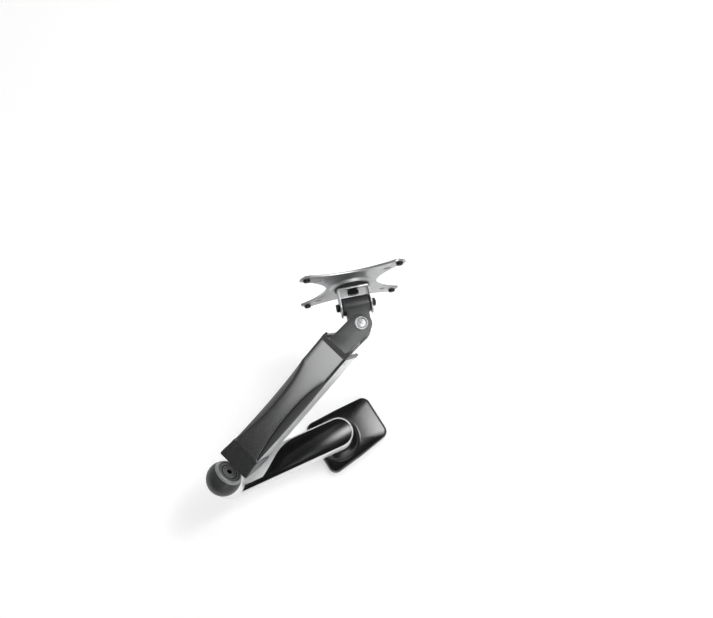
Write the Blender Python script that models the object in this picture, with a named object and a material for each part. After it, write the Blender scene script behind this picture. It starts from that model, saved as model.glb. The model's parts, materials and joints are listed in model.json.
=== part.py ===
"""Monitor arm on a small surface base: two swivelling links, a spring-lifted upper link, and a
pan, tilt and turn head that ends in a 75/100 mm screw plate.

Metres, +Z up. The origin is on the desk, under the first swivel axis. +X runs along the base
towards its wide end, and -Y is the side that the screen faces.
"""

import math

import bmesh
import bpy
from mathutils import Matrix, Vector

GAP = 0.0003                    # space left between pieces that touch

# Base: a steel plate under a rounded cover with a flared boss
BASE_NARROW_END = -0.0645
BASE_WIDE_END = 0.0290
BASE_NARROW_HALF = 0.0300
BASE_WIDE_HALF = 0.0385
BASE_CORNER = 0.0110
COVER_TOP = 0.0180
COVER_WALL = 0.0024
PLATE_THICK = 0.0050
BOSS_TOP = 0.0478
BOSS_NECK = 0.0212
BOSS_FLARE = 0.0095             # width of the boss's hollow curve into the crown
BOSS_RISE = 0.0135              # and its height
RIM_WIDTH = 0.0030              # width of the cover's rounded rim
CROWN_FALL = 0.0022             # fall of its top from the boss to the rim
EDGE_HEIGHT = 0.0060            # level of the cover's widest outline
BASE_BOW = 0.0012               # outward bow of the long sides
HEM = 0.0006                    # level of the cover's lower edge
FOOT_RADIUS = 0.0150            # column's foot in the plate
COLUMN_RADIUS = 0.0130
JOURNAL_RADIUS = 0.0080
BASE_SCREWS = ((0.0190, 0.0260), (0.0190, -0.0260), (-0.0500, 0.0170), (-0.0500, -0.0170))

# Lower link
LOWER_HEADING = -7.8            # degrees from +X, about +Z
LOWER_LENGTH = 0.1456
LOWER_RADIUS = 0.0185
LOWER_BOTTOM = 0.0490
LOWER_TOP = 0.0910
INLAY_THICK = 0.0018
INLAY_RIM = 0.0017
BUSH_OUTER = 0.0097             # bushes in the hub and the housing
BUSH_SEAT = 0.0100              # and the bores that hold them

# Elbow: a round housing under a domed cap
UPPER_HEADING = -166.5          # degrees from +X, about +Z
HOUSING_RADIUS = 0.0202
HOUSING_BOTTOM = 0.0935
DOME_CENTRE = 0.1520
DISC_TILT = 38.0                # degrees above level that the adjuster disc faces
DISC_DISTANCE = 0.0135          # from the dome's centre to the disc's face
DISC_RADIUS = 0.0148

# Parallelogram of the upper link, in the vertical plane through the elbow axis
LIFT_ANGLE = 32.0               # degrees above level in the rest pose
PIVOT_REACH = 0.0367            # elbow axis to the lift pivot
PIVOT_HEIGHT = 0.1705
PIVOT_SPACING = 0.0320          # upper pivot to lower pivot, straight down
LINK_LENGTH = 0.1630            # pivot to pivot
PIN_RADIUS = 0.0040
SPRING_PIN_DROP = 0.0185        # spring anchor below the lift pivot
SPRING_PIN_RADIUS = 0.0030
SPRING_SEAT = (0.1220, -0.0060)  # spring's upper pin on the casing, along and across the link

# Casing of the upper link
CASING_HALF = 0.0180
CASING_WALL = 0.0029
CASING_TOP = 0.0130
PANEL_TOP = 0.0150
CASING_BOTTOM = -0.0430
SHOULDER_IN = 0.0088            # how far the black shoulders cut in from the casing's side
SHOULDER_DROP = 0.0110          # and how far they run down it
SHOULDER_THICK = 0.0019         # upright thickness of the black strips on them
HEAD_EDGE = 0.1694              # casing's slanted head end, level with the pivots
HEAD_SLANT = 0.20               # run of that end along the link for each unit across
PIN_SPARE = 0.0004              # pins stop this far inside the walls that hold them
STRUT_HALF = 0.0147

# Head
PAN_REACH = 0.0441              # head-end pivot to the pan axis
PAN_PIN_RADIUS = 0.0050
HEAD_CENTRE = 0.2450
HEAD_HALF = 0.0125              # half-width of the head bracket
FORK_HALF = 0.0150              # half-height of the pan fork
EAR_THICK = 0.0050
SCREEN_HEADING = -110.5         # degrees from +X that the screen faces
TILT_REACH = 0.0250             # pan axis to tilt axis
BARREL_RADIUS = 0.0100
BARREL_HALF = 0.0150
TILT_BORE = 0.0028
TILT_HEX = 0.0080               # tilt bolt's head and nut, across flats
EAR_IN = 0.0159                 # inner and outer faces of the clevis's ears
EAR_OUT = 0.0177
CLEVIS_BACK = 0.0165            # back of the clevis's plate, ahead of the tilt axis
TURN_BORE = 0.0043
SCREW_PLATE_REACH = 0.0260      # tilt axis to the face that meets the screen
SCREW_PLATE_THICK = 0.0025
SCREW_PLATE_HALF = 0.0575
SCREW_PLATE_TIP = 0.0120        # radius of its rounded corners
SCREW_PITCHES = (0.0375, 0.0500)

BLACK_GLOSS = ("black_gloss_plastic", (0.012, 0.012, 0.013), 0.18, 0.0)
BLACK_MATTE = ("black_plastic", (0.022, 0.022, 0.024), 0.55, 0.0)
GRAPHITE = ("graphite_plastic", (0.060, 0.060, 0.064), 0.50, 0.0)
POLISHED = ("polished_aluminium", (0.80, 0.80, 0.81), 0.18, 1.0)
SATIN = ("satin_aluminium", (0.52, 0.53, 0.54), 0.38, 1.0)
GREY_CAST = ("grey_cast", (0.11, 0.11, 0.115), 0.48, 0.6)
STEEL = ("steel", (0.55, 0.55, 0.56), 0.30, 1.0)
BLACK_STEEL = ("black_steel", (0.020, 0.020, 0.022), 0.38, 0.7)
ZINC = ("zinc", (0.36, 0.36, 0.37), 0.42, 0.9)
BUSH = ("bush_plastic", (0.65, 0.63, 0.58), 0.60, 0.0)


# ---------------------------------------------------------------- scene and materials

def clear_scene():
    """Start from an empty scene."""
    for old in list(bpy.data.objects):
        bpy.data.objects.remove(old, do_unlink=True)


def material(spec):
    """One Principled material for each finish, made once."""
    name, colour, roughness, metallic = spec
    found = bpy.data.materials.get(name)
    if found:
        return found
    made = bpy.data.materials.new(name)
    made.use_nodes = True
    shader = made.node_tree.nodes["Principled BSDF"]
    shader.inputs["Base Color"].default_value = (*colour, 1.0)
    shader.inputs["Roughness"].default_value = roughness
    shader.inputs["Metallic"].default_value = metallic
    made.diffuse_color = (*colour, 1.0)
    return made


def frame(name, place, turn_z=0.0, pitch=0.0):
    """An empty on a joint: turned about Z, then pitched up so that its +X climbs."""
    empty = bpy.data.objects.new(name, None)
    empty.empty_display_size = 0.02
    bpy.context.collection.objects.link(empty)
    turn = Matrix.Rotation(math.radians(turn_z), 4, "Z")
    turn = turn @ Matrix.Rotation(math.radians(-pitch), 4, "Y")
    empty.matrix_world = Matrix.Translation(place) @ turn
    return empty


def add(name, mesh_data, spec, parent=None, smooth=40.0):
    """Wrap a bmesh in an object under a frame."""
    bmesh.ops.recalc_face_normals(mesh_data, faces=mesh_data.faces)
    mesh = bpy.data.meshes.new(name)
    mesh_data.to_mesh(mesh)
    mesh_data.free()
    mesh.shade_smooth()
    mesh.set_sharp_from_angle(angle=math.radians(smooth))
    piece = bpy.data.objects.new(name, mesh)
    bpy.context.collection.objects.link(piece)
    piece.data.materials.append(material(spec))
    if parent:
        piece.parent = parent
    return piece


def boolean(piece, cutter, operation="DIFFERENCE"):
    """Cut a piece by, or join it to, a hidden helper."""
    cutter.hide_render = True
    cutter.display_type = "WIRE"
    step = piece.modifiers.new(operation.lower(), "BOOLEAN")
    step.operation = operation
    step.solver = "EXACT"
    step.object = cutter


# ---------------------------------------------------------------- shapes

def arc(centre, radius, start, end, steps):
    """Points along an arc, angles in degrees."""
    points = []
    for i in range(steps + 1):
        angle = math.radians(start + (end - start) * i / steps)
        points.append((centre[0] + radius * math.cos(angle), centre[1] + radius * math.sin(angle)))
    return points


def bezier(start, pull, push, end, steps):
    """Points along a cubic curve."""
    points = []
    for i in range(steps + 1):
        t = i / steps
        shares = ((1 - t) ** 3, 3 * t * (1 - t) ** 2, 3 * t * t * (1 - t), t ** 3)
        x = sum(share * point[0] for share, point in zip(shares, (start, pull, push, end)))
        y = sum(share * point[1] for share, point in zip(shares, (start, pull, push, end)))
        points.append((x, y))
    return points


def rounded(corners, radii, steps=5):
    """An outline with each corner turned into an arc. Corners run anticlockwise."""
    points = []
    count = len(corners)
    for i, corner in enumerate(corners):
        here = Vector(corner)
        back = (Vector(corners[i - 1]) - here).normalized()
        ahead = (Vector(corners[(i + 1) % count]) - here).normalized()
        radius = radii[i] if isinstance(radii, (list, tuple)) else radii
        if radius <= 0:
            points.append(tuple(here))
            continue
        half = back.angle(ahead) / 2
        centre = here + (back + ahead).normalized() * radius / math.sin(half)
        first = here + back * radius / math.tan(half) - centre
        last = here + ahead * radius / math.tan(half) - centre
        sweep = first.angle_signed(last)
        for k in range(steps + 1):
            spoke = first.copy()
            spoke.rotate(Matrix.Rotation(-sweep * k / steps, 2))
            points.append(tuple(centre + spoke))
    return points


def stadium(x0, x1, radius, steps=12):
    """A slot outline from x0 to x1, the centres of its round ends."""
    return arc((x1, 0), radius, -90, 90, steps) + arc((x0, 0), radius, 90, 270, steps)


def hull(circles, steps=24):
    """The outline of a belt round several circles given as (x, y, radius)."""
    cloud = []
    for x, y, radius in circles:
        cloud += arc((x, y), radius, 0, 360 - 360 / steps, steps - 1)
    cloud = sorted(set(cloud))

    def half(points):
        chain = []
        for point in points:
            while len(chain) > 1:
                (ax, ay), (bx, by) = chain[-2], chain[-1]
                if (bx - ax) * (point[1] - ay) - (by - ay) * (point[0] - ax) > 1e-12:
                    break
                chain.pop()
            chain.append(point)
        return chain[:-1]

    return half(cloud) + half(cloud[::-1])


def loft(rings, closed=False):
    """A solid through rings with equal numbers of points: capped, or joined end to end."""
    made = bmesh.new()
    loops = [[made.verts.new(point) for point in ring] for ring in rings]
    count = len(loops[0])
    for low, high in zip(loops, loops[1:]):
        for i in range(count):
            j = (i + 1) % count
            made.faces.new((low[i], low[j], high[j], high[i]))
    if closed:
        for i in range(count):
            j = (i + 1) % count
            made.faces.new((loops[-1][i], loops[-1][j], loops[0][j], loops[0][i]))
    else:
        made.faces.new(list(reversed(loops[0])))
        made.faces.new(loops[-1])
    return made


def prism(outline, low, high, axis="Z"):
    """An outline pushed out between two levels: XY along Z, XZ along Y, or YZ along X."""
    if axis == "Z":
        rings = [[(x, y, level) for x, y in outline] for level in (low, high)]
    elif axis == "Y":
        rings = [[(x, level, z) for x, z in outline] for level in (low, high)]
    else:
        rings = [[(level, y, z) for y, z in outline] for level in (low, high)]
    return loft(rings)


def turned(profile, steps=24, phase=0.0):
    """A solid of revolution about Z from a closed profile of (radius, height)."""
    made = bmesh.new()
    turn = math.radians(phase)
    points = [made.verts.new((r * math.cos(turn), r * math.sin(turn), z)) for r, z in profile]
    edges = []
    for a, b in zip(points, points[1:] + points[:1]):
        if a.co.xy.length > 0 or b.co.xy.length > 0:
            edges.append(made.edges.new((a, b)))
    bmesh.ops.spin(made, geom=points + edges, cent=(0, 0, 0), axis=(0, 0, 1),
                   angle=2 * math.pi, steps=steps, use_duplicate=False)
    bmesh.ops.remove_doubles(made, verts=made.verts, dist=1e-6)
    bmesh.ops.dissolve_degenerate(made, edges=made.edges, dist=1e-7)
    return made


def rod(radius, low, high, steps=16, edge=0.0):
    """A solid round bar along Z, with an optional small chamfer at both ends."""
    if edge:
        profile = [(0, low), (radius - edge, low), (radius, low + edge),
                   (radius, high - edge), (radius - edge, high), (0, high)]
    else:
        profile = [(0, low), (radius, low), (radius, high), (0, high)]
    return turned(profile, steps)


def tube(inner, outer, low, high, steps=20):
    """A round sleeve along Z."""
    return turned([(inner, low), (outer, low), (outer, high), (inner, high)], steps)


def aim(made, direction, place=(0, 0, 0)):
    """Turn a shape built along Z to lie along a direction, then move it."""
    turn = Vector((0, 0, 1)).rotation_difference(Vector(direction)).to_matrix().to_4x4()
    bmesh.ops.transform(made, matrix=Matrix.Translation(place) @ turn, verts=made.verts)
    return made


def along_y(made, place=(0, 0, 0)):
    """Lay a shape built along Z along Y."""
    return aim(made, (0, 1, 0), place)


def hexagon(across, low, high):
    """A six-sided bar along Z."""
    corner = across / math.sqrt(3)
    outline = arc((0, 0), corner, 0, 300, 5)
    return prism(outline, low, high)


def helper(name, mesh_data, parent=None):
    """A hidden shape used only to cut or to join."""
    return add("cut_" + name, mesh_data, BLACK_MATTE, parent)


# ---------------------------------------------------------------- base

def base_outline(inset):
    """The base's tapered outline with slightly bowed long sides, set in by a distance."""
    x0 = BASE_NARROW_END + inset
    x1 = BASE_WIDE_END - inset
    narrow = BASE_NARROW_HALF - inset
    wide = BASE_WIDE_HALF - inset
    middle = (x0 + x1) / 2
    bow = (narrow + wide) / 2 + BASE_BOW
    corners = [(x1, -wide), (x1, wide), (middle, bow), (x0, narrow), (x0, -narrow), (middle, -bow)]
    corner = max(BASE_CORNER - inset, 0.002)
    return rounded(corners, [corner, corner, 0.09, corner, corner, 0.09], 4)


def cover_outline(inset):
    """The base outline with extra points on its long runs, so that circles can share its bearings."""
    full = base_outline(0)
    points = []
    for i, (x, y) in enumerate(base_outline(inset)):
        points.append((x, y))
        here, ahead = Vector(full[i]), Vector(full[(i + 1) % len(full)])
        extra = int(here.angle(ahead) / math.radians(13))
        x1, y1 = base_outline(inset)[(i + 1) % len(full)]
        for k in range(1, extra + 1):
            part = k / (extra + 1)
            points.append((x + (x1 - x) * part, y + (y1 - y) * part))
    return points


def cover_ring(rim, part, wall):
    """One ring of the cover's skin: rim (0 to 1) across its rim, then part (0 to 1) on to the boss."""
    neck = BOSS_NECK - wall
    ring = []
    for x, y in cover_outline(wall):
        edge = math.hypot(x, y)
        radius = edge - RIM_WIDTH * rim
        radius += (neck - radius) * part
        rise = math.sqrt(1 - (1 - min((edge - radius) / RIM_WIDTH, 1)) ** 2)
        top = COVER_TOP - CROWN_FALL * ((radius - neck) / (edge - neck)) ** 2
        flare = max(1 - (radius - neck) / BOSS_FLARE, 0)
        height = EDGE_HEIGHT + (top + BOSS_RISE * flare * flare - EDGE_HEIGHT) * rise - wall
        ring.append((x * radius / edge, y * radius / edge, height))
    return ring


def round_ring(radius, height):
    """A circle with as many points, at the same bearings, as the cover's outline."""
    ring = []
    for x, y in cover_outline(0):
        bearing = math.atan2(y, x)
        ring.append((radius * math.cos(bearing), radius * math.sin(bearing), height))
    return ring


def mounting_plate():
    """Steel plate on the desk, with four countersunk screw holes and a seat for the column."""
    outline = base_outline(COVER_WALL + 0.0016)
    plate = add("mounting_plate", prism(outline, 0, PLATE_THICK), BLACK_STEEL)
    boolean(plate, helper("column_seat", rod(FOOT_RADIUS + GAP, 0.0025, 0.01, 32)))
    for i, (x, y) in enumerate(BASE_SCREWS):
        hole = turned([(0, -0.001), (0.0026, -0.001), (0.0026, 0.0015), (0.0056, 0.0051),
                       (0.0056, 0.006), (0, 0.006)], 20)
        bmesh.ops.translate(hole, vec=(x, y, 0), verts=hole.verts)
        boolean(plate, helper("plate_hole_%d" % i, hole))


def base_screws():
    """Countersunk screws that hold the plate to the desk, kept above its surface."""
    for i, (x, y) in enumerate(BASE_SCREWS):
        profile = [(0, 0.0004), (0.0023, 0.0004), (0.0023, 0.0015), (0.0051, 0.0048), (0, 0.0048)]
        body = turned(profile, 20)
        bmesh.ops.translate(body, vec=(x, y, 0), verts=body.verts)
        add("base_screw_%d" % (i + 1), body, STEEL)


def base_cover():
    """Glossy shell over the plate: bowed sides, a low crown and a boss that flares into it."""
    wall = COVER_WALL
    mouth = COLUMN_RADIUS + 0.0006
    lip = BOSS_TOP - 0.0030
    skirt = [[(x, y, height) for x, y in cover_outline(inset)]
             for height, inset in ((HEM, 0.0009), (0.0035, 0.0001))]
    outside = [cover_ring(rim, 0, 0) for rim in (0, 0.10, 0.40)]
    outside += [cover_ring(1, part, 0) for part in (0, 0.25, 0.50, 0.70, 0.86, 1)]
    boss = [round_ring(radius, height) for radius, height in
            ((0.0196, 0.0375), (0.0186, 0.0435), (0.0182, BOSS_TOP - 0.0008),
             (0.0174, BOSS_TOP), (mouth, BOSS_TOP), (mouth, lip), (0.0160, lip))]
    inside = [cover_ring(1, part, wall) for part in (1, 0.60, 0.10)] + [cover_ring(0, 0, wall)]
    hem = [[(x, y, HEM) for x, y in cover_outline(wall)]]
    add("base_cover", loft(skirt + outside + boss + inside + hem, closed=True), BLACK_GLOSS)


def column():
    """Steel column: a foot in the plate, a wide stem inside the boss and a journal for the link."""
    shoulder = BOSS_TOP + 0.0001
    profile = [(0, 0.0028), (FOOT_RADIUS, 0.0028), (FOOT_RADIUS, 0.0078), (COLUMN_RADIUS, 0.0085),
               (COLUMN_RADIUS, shoulder), (JOURNAL_RADIUS, shoulder), (JOURNAL_RADIUS, 0.0770),
               (0.0033, 0.0770), (0.0033, 0.0600), (0, 0.0600)]
    add("swivel_column", turned(profile, 32), STEEL)
    washer = tube(JOURNAL_RADIUS + GAP, 0.0170, shoulder + 0.0002, LOWER_BOTTOM - 0.0001)
    add("base_thrust_washer", washer, BUSH)
    screw = [(0, 0.0620), (0.0030, 0.0620), (0.0030, 0.0776), (0.0098, 0.0776), (0.0098, 0.0792),
             (0.0060, 0.0792), (0.0060, 0.0836), (0.0054, 0.0842), (0.0026, 0.0842), (0.0026, 0.0815),
             (0, 0.0815)]
    add("column_screw", turned(screw, 24), BLACK_STEEL)


# ---------------------------------------------------------------- lower link

def lower_ring(height, inset):
    """One level of the lower link's slot-shaped outline."""
    return [(x, y, height) for x, y in stadium(0, LOWER_LENGTH, LOWER_RADIUS - inset, 16)]


def inlay_outline(grow=0.0):
    """Black top inlay: round at the base end, a swept front edge and a tail along one side."""
    half = LOWER_RADIUS - INLAY_RIM + grow
    tail_end = LOWER_LENGTH - 0.0060 + grow
    tail_inner = 0.0112 - grow
    start = arc((0, 0), half, 90, 270, 18)
    sweep = bezier((0.0520 + grow, -half), (0.0780 + grow, -0.0150), (0.0840 + grow, -0.0020),
                   (0.1060 + grow, tail_inner), 10)
    tip = arc((tail_end, (half + tail_inner) / 2), (half - tail_inner) / 2, -90, 90, 5)
    return start + sweep + tip


def lower_link(parent):
    """Cast link: closed top, a cable channel below and a hub at each end."""
    rings = [lower_ring(LOWER_BOTTOM, 0.0012), lower_ring(LOWER_BOTTOM + 0.0012, 0.0),
             lower_ring(LOWER_TOP - 0.0016, 0.0), lower_ring(LOWER_TOP - 0.0005, 0.0005),
             lower_ring(LOWER_TOP, 0.0014)]
    body = add("lower_arm_body", loft(rings), POLISHED, parent)
    inlay_floor = LOWER_TOP - INLAY_THICK
    boolean(body, helper("inlay_seat", prism(inlay_outline(GAP), inlay_floor - GAP, 0.1), parent))
    channel = rounded([(0.0170, -0.0150), (LOWER_LENGTH - 0.0170, -0.0150),
                       (LOWER_LENGTH - 0.0170, 0.0150), (0.0170, 0.0150)], 0.003, 4)
    boolean(body, helper("cable_channel", prism(channel, 0.0470, LOWER_TOP - 0.0060), parent))
    hub = turned([(0, 0.0470), (BUSH_SEAT, 0.0470), (BUSH_SEAT, 0.0770), (0.0106, 0.0770),
                  (0.0106, 0.1), (0, 0.1)], 24)
    boolean(body, helper("base_hub_bore", hub, parent))
    seat = turned([(0, 0.0470), (0.0112, 0.0470), (0.0112, 0.0560), (JOURNAL_RADIUS + GAP, 0.0560),
                   (JOURNAL_RADIUS + GAP, 0.1), (0, 0.1)], 24)
    bmesh.ops.translate(seat, vec=(LOWER_LENGTH, 0, 0), verts=seat.verts)
    boolean(body, helper("elbow_shaft_seat", seat, parent))
    add("lower_arm_inlay", prism(inlay_outline(), inlay_floor, LOWER_TOP), BLACK_GLOSS, parent)
    inner = JOURNAL_RADIUS + GAP
    add("base_bush_lower", tube(inner, BUSH_OUTER, 0.0494, 0.0610, 24), BUSH, parent)
    add("base_bush_upper", tube(inner, BUSH_OUTER, 0.0640, 0.0766), BUSH, parent)


def elbow_shaft(parent):
    """Steel shaft fixed in the lower link, with a head below and a threaded top."""
    profile = [(0, 0.0520), (0.0108, 0.0520), (0.0108, 0.0557), (JOURNAL_RADIUS, 0.0557),
               (JOURNAL_RADIUS, 0.1340), (0.0050, 0.1345), (0.0050, 0.1450), (0, 0.1450)]
    add("elbow_shaft", turned(profile, 24), STEEL, parent)
    washer = tube(JOURNAL_RADIUS + GAP, 0.0180, LOWER_TOP + GAP, HOUSING_BOTTOM - GAP)
    add("elbow_thrust_washer", washer, BUSH, parent)


# ---------------------------------------------------------------- elbow

def disc_direction():
    """Unit normal of the adjuster disc, in the elbow's frame."""
    tilt = math.radians(DISC_TILT)
    return Vector((math.cos(tilt), 0, math.sin(tilt)))


def disc_cutter(name, distance, parent):
    """A block beyond the adjuster disc's plane at a distance from the dome's centre."""
    reach = 0.05
    square = [(-reach, -reach), (reach, -reach), (reach, reach), (-reach, reach)]
    block = prism(square, distance, distance + reach)
    return helper(name, aim(block, disc_direction(), (0, 0, DOME_CENTRE)), parent)


def elbow_housing(parent):
    """Round housing on the elbow shaft, with the two-eared bracket of the lift pivots."""
    top = DOME_CENTRE - 0.0004
    rounds = [(0, HOUSING_BOTTOM), (HOUSING_RADIUS - 0.0010, HOUSING_BOTTOM),
              (HOUSING_RADIUS, HOUSING_BOTTOM + 0.0010), (HOUSING_RADIUS, top), (0, top)]
    housing = add("elbow_housing", turned(rounds, 32), POLISHED, parent)
    boolean(housing, disc_cutter("housing_flat", DISC_DISTANCE - 0.0034, parent))
    low_z = PIVOT_HEIGHT - PIVOT_SPACING
    ear = 0.0085
    side = [(0.0140, low_z - ear)] + arc((PIVOT_REACH, low_z), ear, -90, 0, 6)
    side += arc((PIVOT_REACH, PIVOT_HEIGHT), ear, 0, 180, 12)
    side += [(PIVOT_REACH - ear, PIVOT_HEIGHT - 0.0140), (0.0245, 0.1440), (0.0140, 0.1440)]
    bracket = helper("elbow_bracket", prism(side, -HEAD_HALF, HEAD_HALF, "Y"), parent)
    boolean(housing, bracket, "UNION")
    slot = [(0.0262, 0.12), (0.06, 0.12), (0.06, 0.19), (0.0262, 0.19)]
    boolean(housing, helper("spring_slot", prism(slot, -0.0075, 0.0075, "Y"), parent))
    for i, (height, radius) in enumerate(((PIVOT_HEIGHT, PIN_RADIUS), (low_z, PIN_RADIUS),
                                          (PIVOT_HEIGHT - SPRING_PIN_DROP, SPRING_PIN_RADIUS))):
        hole = along_y(rod(radius + GAP, -0.03, 0.03), (PIVOT_REACH, 0, height))
        boolean(housing, helper("ear_hole_%d" % i, hole, parent))
    bore = turned([(0, 0.09), (BUSH_SEAT, 0.09), (BUSH_SEAT, 0.1330), (0.0145, 0.1330),
                   (0.0145, 0.16), (0, 0.16)], 24)
    boolean(housing, helper("housing_bore", bore, parent))
    inner = JOURNAL_RADIUS + GAP
    add("elbow_bush_lower", tube(inner, BUSH_OUTER, 0.0938, 0.1080), BUSH, parent)
    add("elbow_bush_upper", tube(inner, BUSH_OUTER, 0.1180, 0.1326), BUSH, parent)


def elbow_fixings(parent):
    """Washer and lock nut on the shaft's threaded top. They stay with the shaft."""
    add("elbow_retaining_washer", tube(0.0053, 0.0120, 0.1348, 0.1364), STEEL, parent)
    nut = add("elbow_lock_nut", hexagon(0.0150, 0.1367, 0.1430), STEEL, parent)
    boolean(nut, helper("lock_nut_bore", rod(0.0053, 0.13, 0.15), parent))


def elbow_cap(parent):
    """Domed cap over the housing, cut flat where the adjuster disc sits."""
    outer = HOUSING_RADIUS
    inner = outer - 0.0024
    outside = arc((0, DOME_CENTRE), outer, 90, 0, 9)
    inside = arc((0, DOME_CENTRE), inner, 0, 90, 7)
    cap = add("elbow_cap", turned(outside + inside, 32), GRAPHITE, parent)
    boolean(cap, disc_cutter("cap_flat", DISC_DISTANCE - 0.0034, parent))


def adjuster(frame_disc):
    """Tension adjuster on the slanted flat: a ring that completes the dome, and its hex screw."""
    profile = [(0.0062, -0.0030)]
    for depth in (0.0030, 0.0017, 0.0006):
        profile.append((math.sqrt(HOUSING_RADIUS ** 2 - (DISC_DISTANCE - depth) ** 2), -depth))
    profile += [(DISC_RADIUS, 0), (0.0135, 0), (0.0132, -0.0004), (0.0062, -0.0004)]
    ring = turned(profile, 24)
    ring_piece = add("adjuster_ring", ring, ZINC, frame_disc)
    for i in range(2):
        angle = math.radians(35 + 180 * i)
        dot = rod(0.0009, -0.0012, 0.001, 12)
        place = (0.0108 * math.cos(angle), 0.0108 * math.sin(angle), 0)
        bmesh.ops.translate(dot, vec=place, verts=dot.verts)
        boolean(ring_piece, helper("spanner_hole_%d" % i, dot, frame_disc))
    screw = turned([(0, -0.0112), (0.0030, -0.0112), (0.0030, -0.0042), (0.0059, -0.0042),
                    (0.0059, -0.0002), (0, -0.0002)], 24)
    screw_piece = add("tension_screw", screw, ZINC, frame_disc)
    boolean(screw_piece, helper("hex_socket", hexagon(0.0060, -0.0032, 0.002), frame_disc))


# ---------------------------------------------------------------- upper link

def shoulder(along):
    """How far the black shoulders cut into the casing, from 0 to 1, at a place along the link."""
    elbow_side = min(max((along - 0.0080) / 0.0710, 0), 1)
    head_side = min(max((0.1375 - along) / 0.0585, 0), 1)
    elbow_side = 0.04 + 0.96 * (1 - (1 - elbow_side) ** 2)
    head_side = 0.20 + 0.80 * (1 - (1 - head_side) ** 2.5)
    return min(elbow_side, head_side)


def link_stations(first=(), last=()):
    """Places along the link where its lofted pieces have a section."""
    start, end, count = 0.0130, 0.1716, 28
    middle = [start + (end - start) * i / count for i in range(count + 1)]
    return list(first) + middle + list(last)


def casing_section(along, half, top, bottom, spare):
    """Cross-section of the casing, with both top corners cut parallel to the shoulders."""
    reach = SHOULDER_IN * shoulder(along) + spare
    drop = reach * SHOULDER_DROP / SHOULDER_IN
    return [(along, half, bottom), (along, half, top - drop), (along, half - reach, top),
            (along, reach - half, top), (along, -half, top - drop), (along, -half, bottom)]


def front_edge(height):
    """The casing's slanted head end, at a height across the link."""
    return HEAD_EDGE + HEAD_SLANT * height


def casing(parent):
    """Aluminium channel of the upper link: a top, two walls, open below."""
    places = link_stations((-0.0125, 0.0005), (0.1800,))
    shape = loft([casing_section(x, CASING_HALF, CASING_TOP, CASING_BOTTOM, GAP) for x in places])
    body = add("upper_arm_casing", shape, POLISHED, parent, 30.0)
    inner_half = CASING_HALF - CASING_WALL
    inner_top = CASING_TOP - CASING_WALL
    places = [-0.0225] + link_stations()[::2] + [0.1900]
    hollow = [casing_section(x, inner_half, inner_top, CASING_BOTTOM - 0.01, 0.0004) for x in places]
    boolean(body, helper("casing_hollow", loft(hollow), parent))
    side = [(front_edge(CASING_BOTTOM), CASING_BOTTOM), (front_edge(0.02), 0.02), (-0.0060, 0.02)]
    side += arc((0, 0), 0.0100, 150, 215, 6) + [(0.0100, CASING_BOTTOM)]
    keep = helper("casing_side", prism(side[::-1], -0.03, 0.03, "Y"), parent)
    boolean(body, keep, "INTERSECT")
    seats = ((0, 0, PIN_RADIUS), (LINK_LENGTH, 0, PIN_RADIUS), (*SPRING_SEAT, SPRING_PIN_RADIUS))
    for i, (x, z, radius) in enumerate(seats):
        hole = along_y(rod(radius + GAP, -0.03, 0.03), (x, 0, z))
        boolean(body, helper("casing_hole_%d" % i, hole, parent))


def top_panel(parent):
    """Waisted panel along the top of the casing."""
    low = CASING_TOP + GAP
    high = PANEL_TOP
    edge = 0.0004
    rings = []
    for x in link_stations((0.0005,)):
        half = CASING_HALF - SHOULDER_IN * shoulder(x) - GAP
        rings.append([(x, half, low), (x, half, high - edge), (x, half - edge, high),
                      (x, edge - half, high), (x, -half, high - edge), (x, -half, low)])
    add("top_panel", loft(rings), SATIN, parent, 30.0)


def shoulder_inlay(name, side, parent):
    """Black strip on one sloping shoulder of the casing, swelling to a lens in the middle."""
    rings = []
    for x in link_stations():
        amount = shoulder(x)
        inner = side * (CASING_HALF - SHOULDER_IN * amount)
        outer = side * CASING_HALF
        low = PANEL_TOP - SHOULDER_DROP * amount
        rings.append([(x, inner, PANEL_TOP), (x, outer, low), (x, outer, low - SHOULDER_THICK),
                      (x, inner, PANEL_TOP - SHOULDER_THICK)])
    add(name, loft(rings), BLACK_GLOSS, parent, 30.0)


def u_section(along, outer, inner, top, inner_top, bottom, corner):
    """A channel section: outer and inner half-widths, with the outer top corners rounded."""
    right = arc((outer - corner, top - corner), corner, 0, 90, 4)
    left = [(-y, z) for y, z in reversed(right)]
    points = [(outer, bottom)] + right + left + [(-outer, bottom), (-inner, bottom),
                                                 (-inner, inner_top), (inner, inner_top), (inner, bottom)]
    return [(along, y, z) for y, z in points]


def elbow_end_cap(parent):
    """Dark cap that wraps the casing's elbow end and flares a little."""
    stations = ((-0.0130, 0.0207, 0.0158), (-0.0090, 0.0205, 0.0158), (-0.0030, 0.0200, 0.0157),
                (0.0040, 0.0193, 0.0156), (0.0110, 0.0189, 0.0155))
    inner = CASING_HALF + GAP
    roof = PANEL_TOP + GAP - 0.0001
    rings = [u_section(x, half, inner, top, roof, -0.0260, 0.0022) for x, half, top in stations]
    cap = add("elbow_end_cap", loft(rings), GRAPHITE, parent, 30.0)
    back = [(-0.05, -0.05), (-0.0005, -0.0270), (-0.0105, -0.0040), (-0.0130, 0.0100),
            (-0.0130, 0.02), (-0.05, 0.02)]
    boolean(cap, helper("end_cap_back", prism(back, -0.03, 0.03, "Y"), parent))
    front = [(0.0040, -0.05), (0.05, -0.05), (0.05, -0.0020), (0.0110, -0.0020), (0.0040, -0.0260)]
    boolean(cap, helper("end_cap_front", prism(front, -0.03, 0.03, "Y"), parent))


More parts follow.
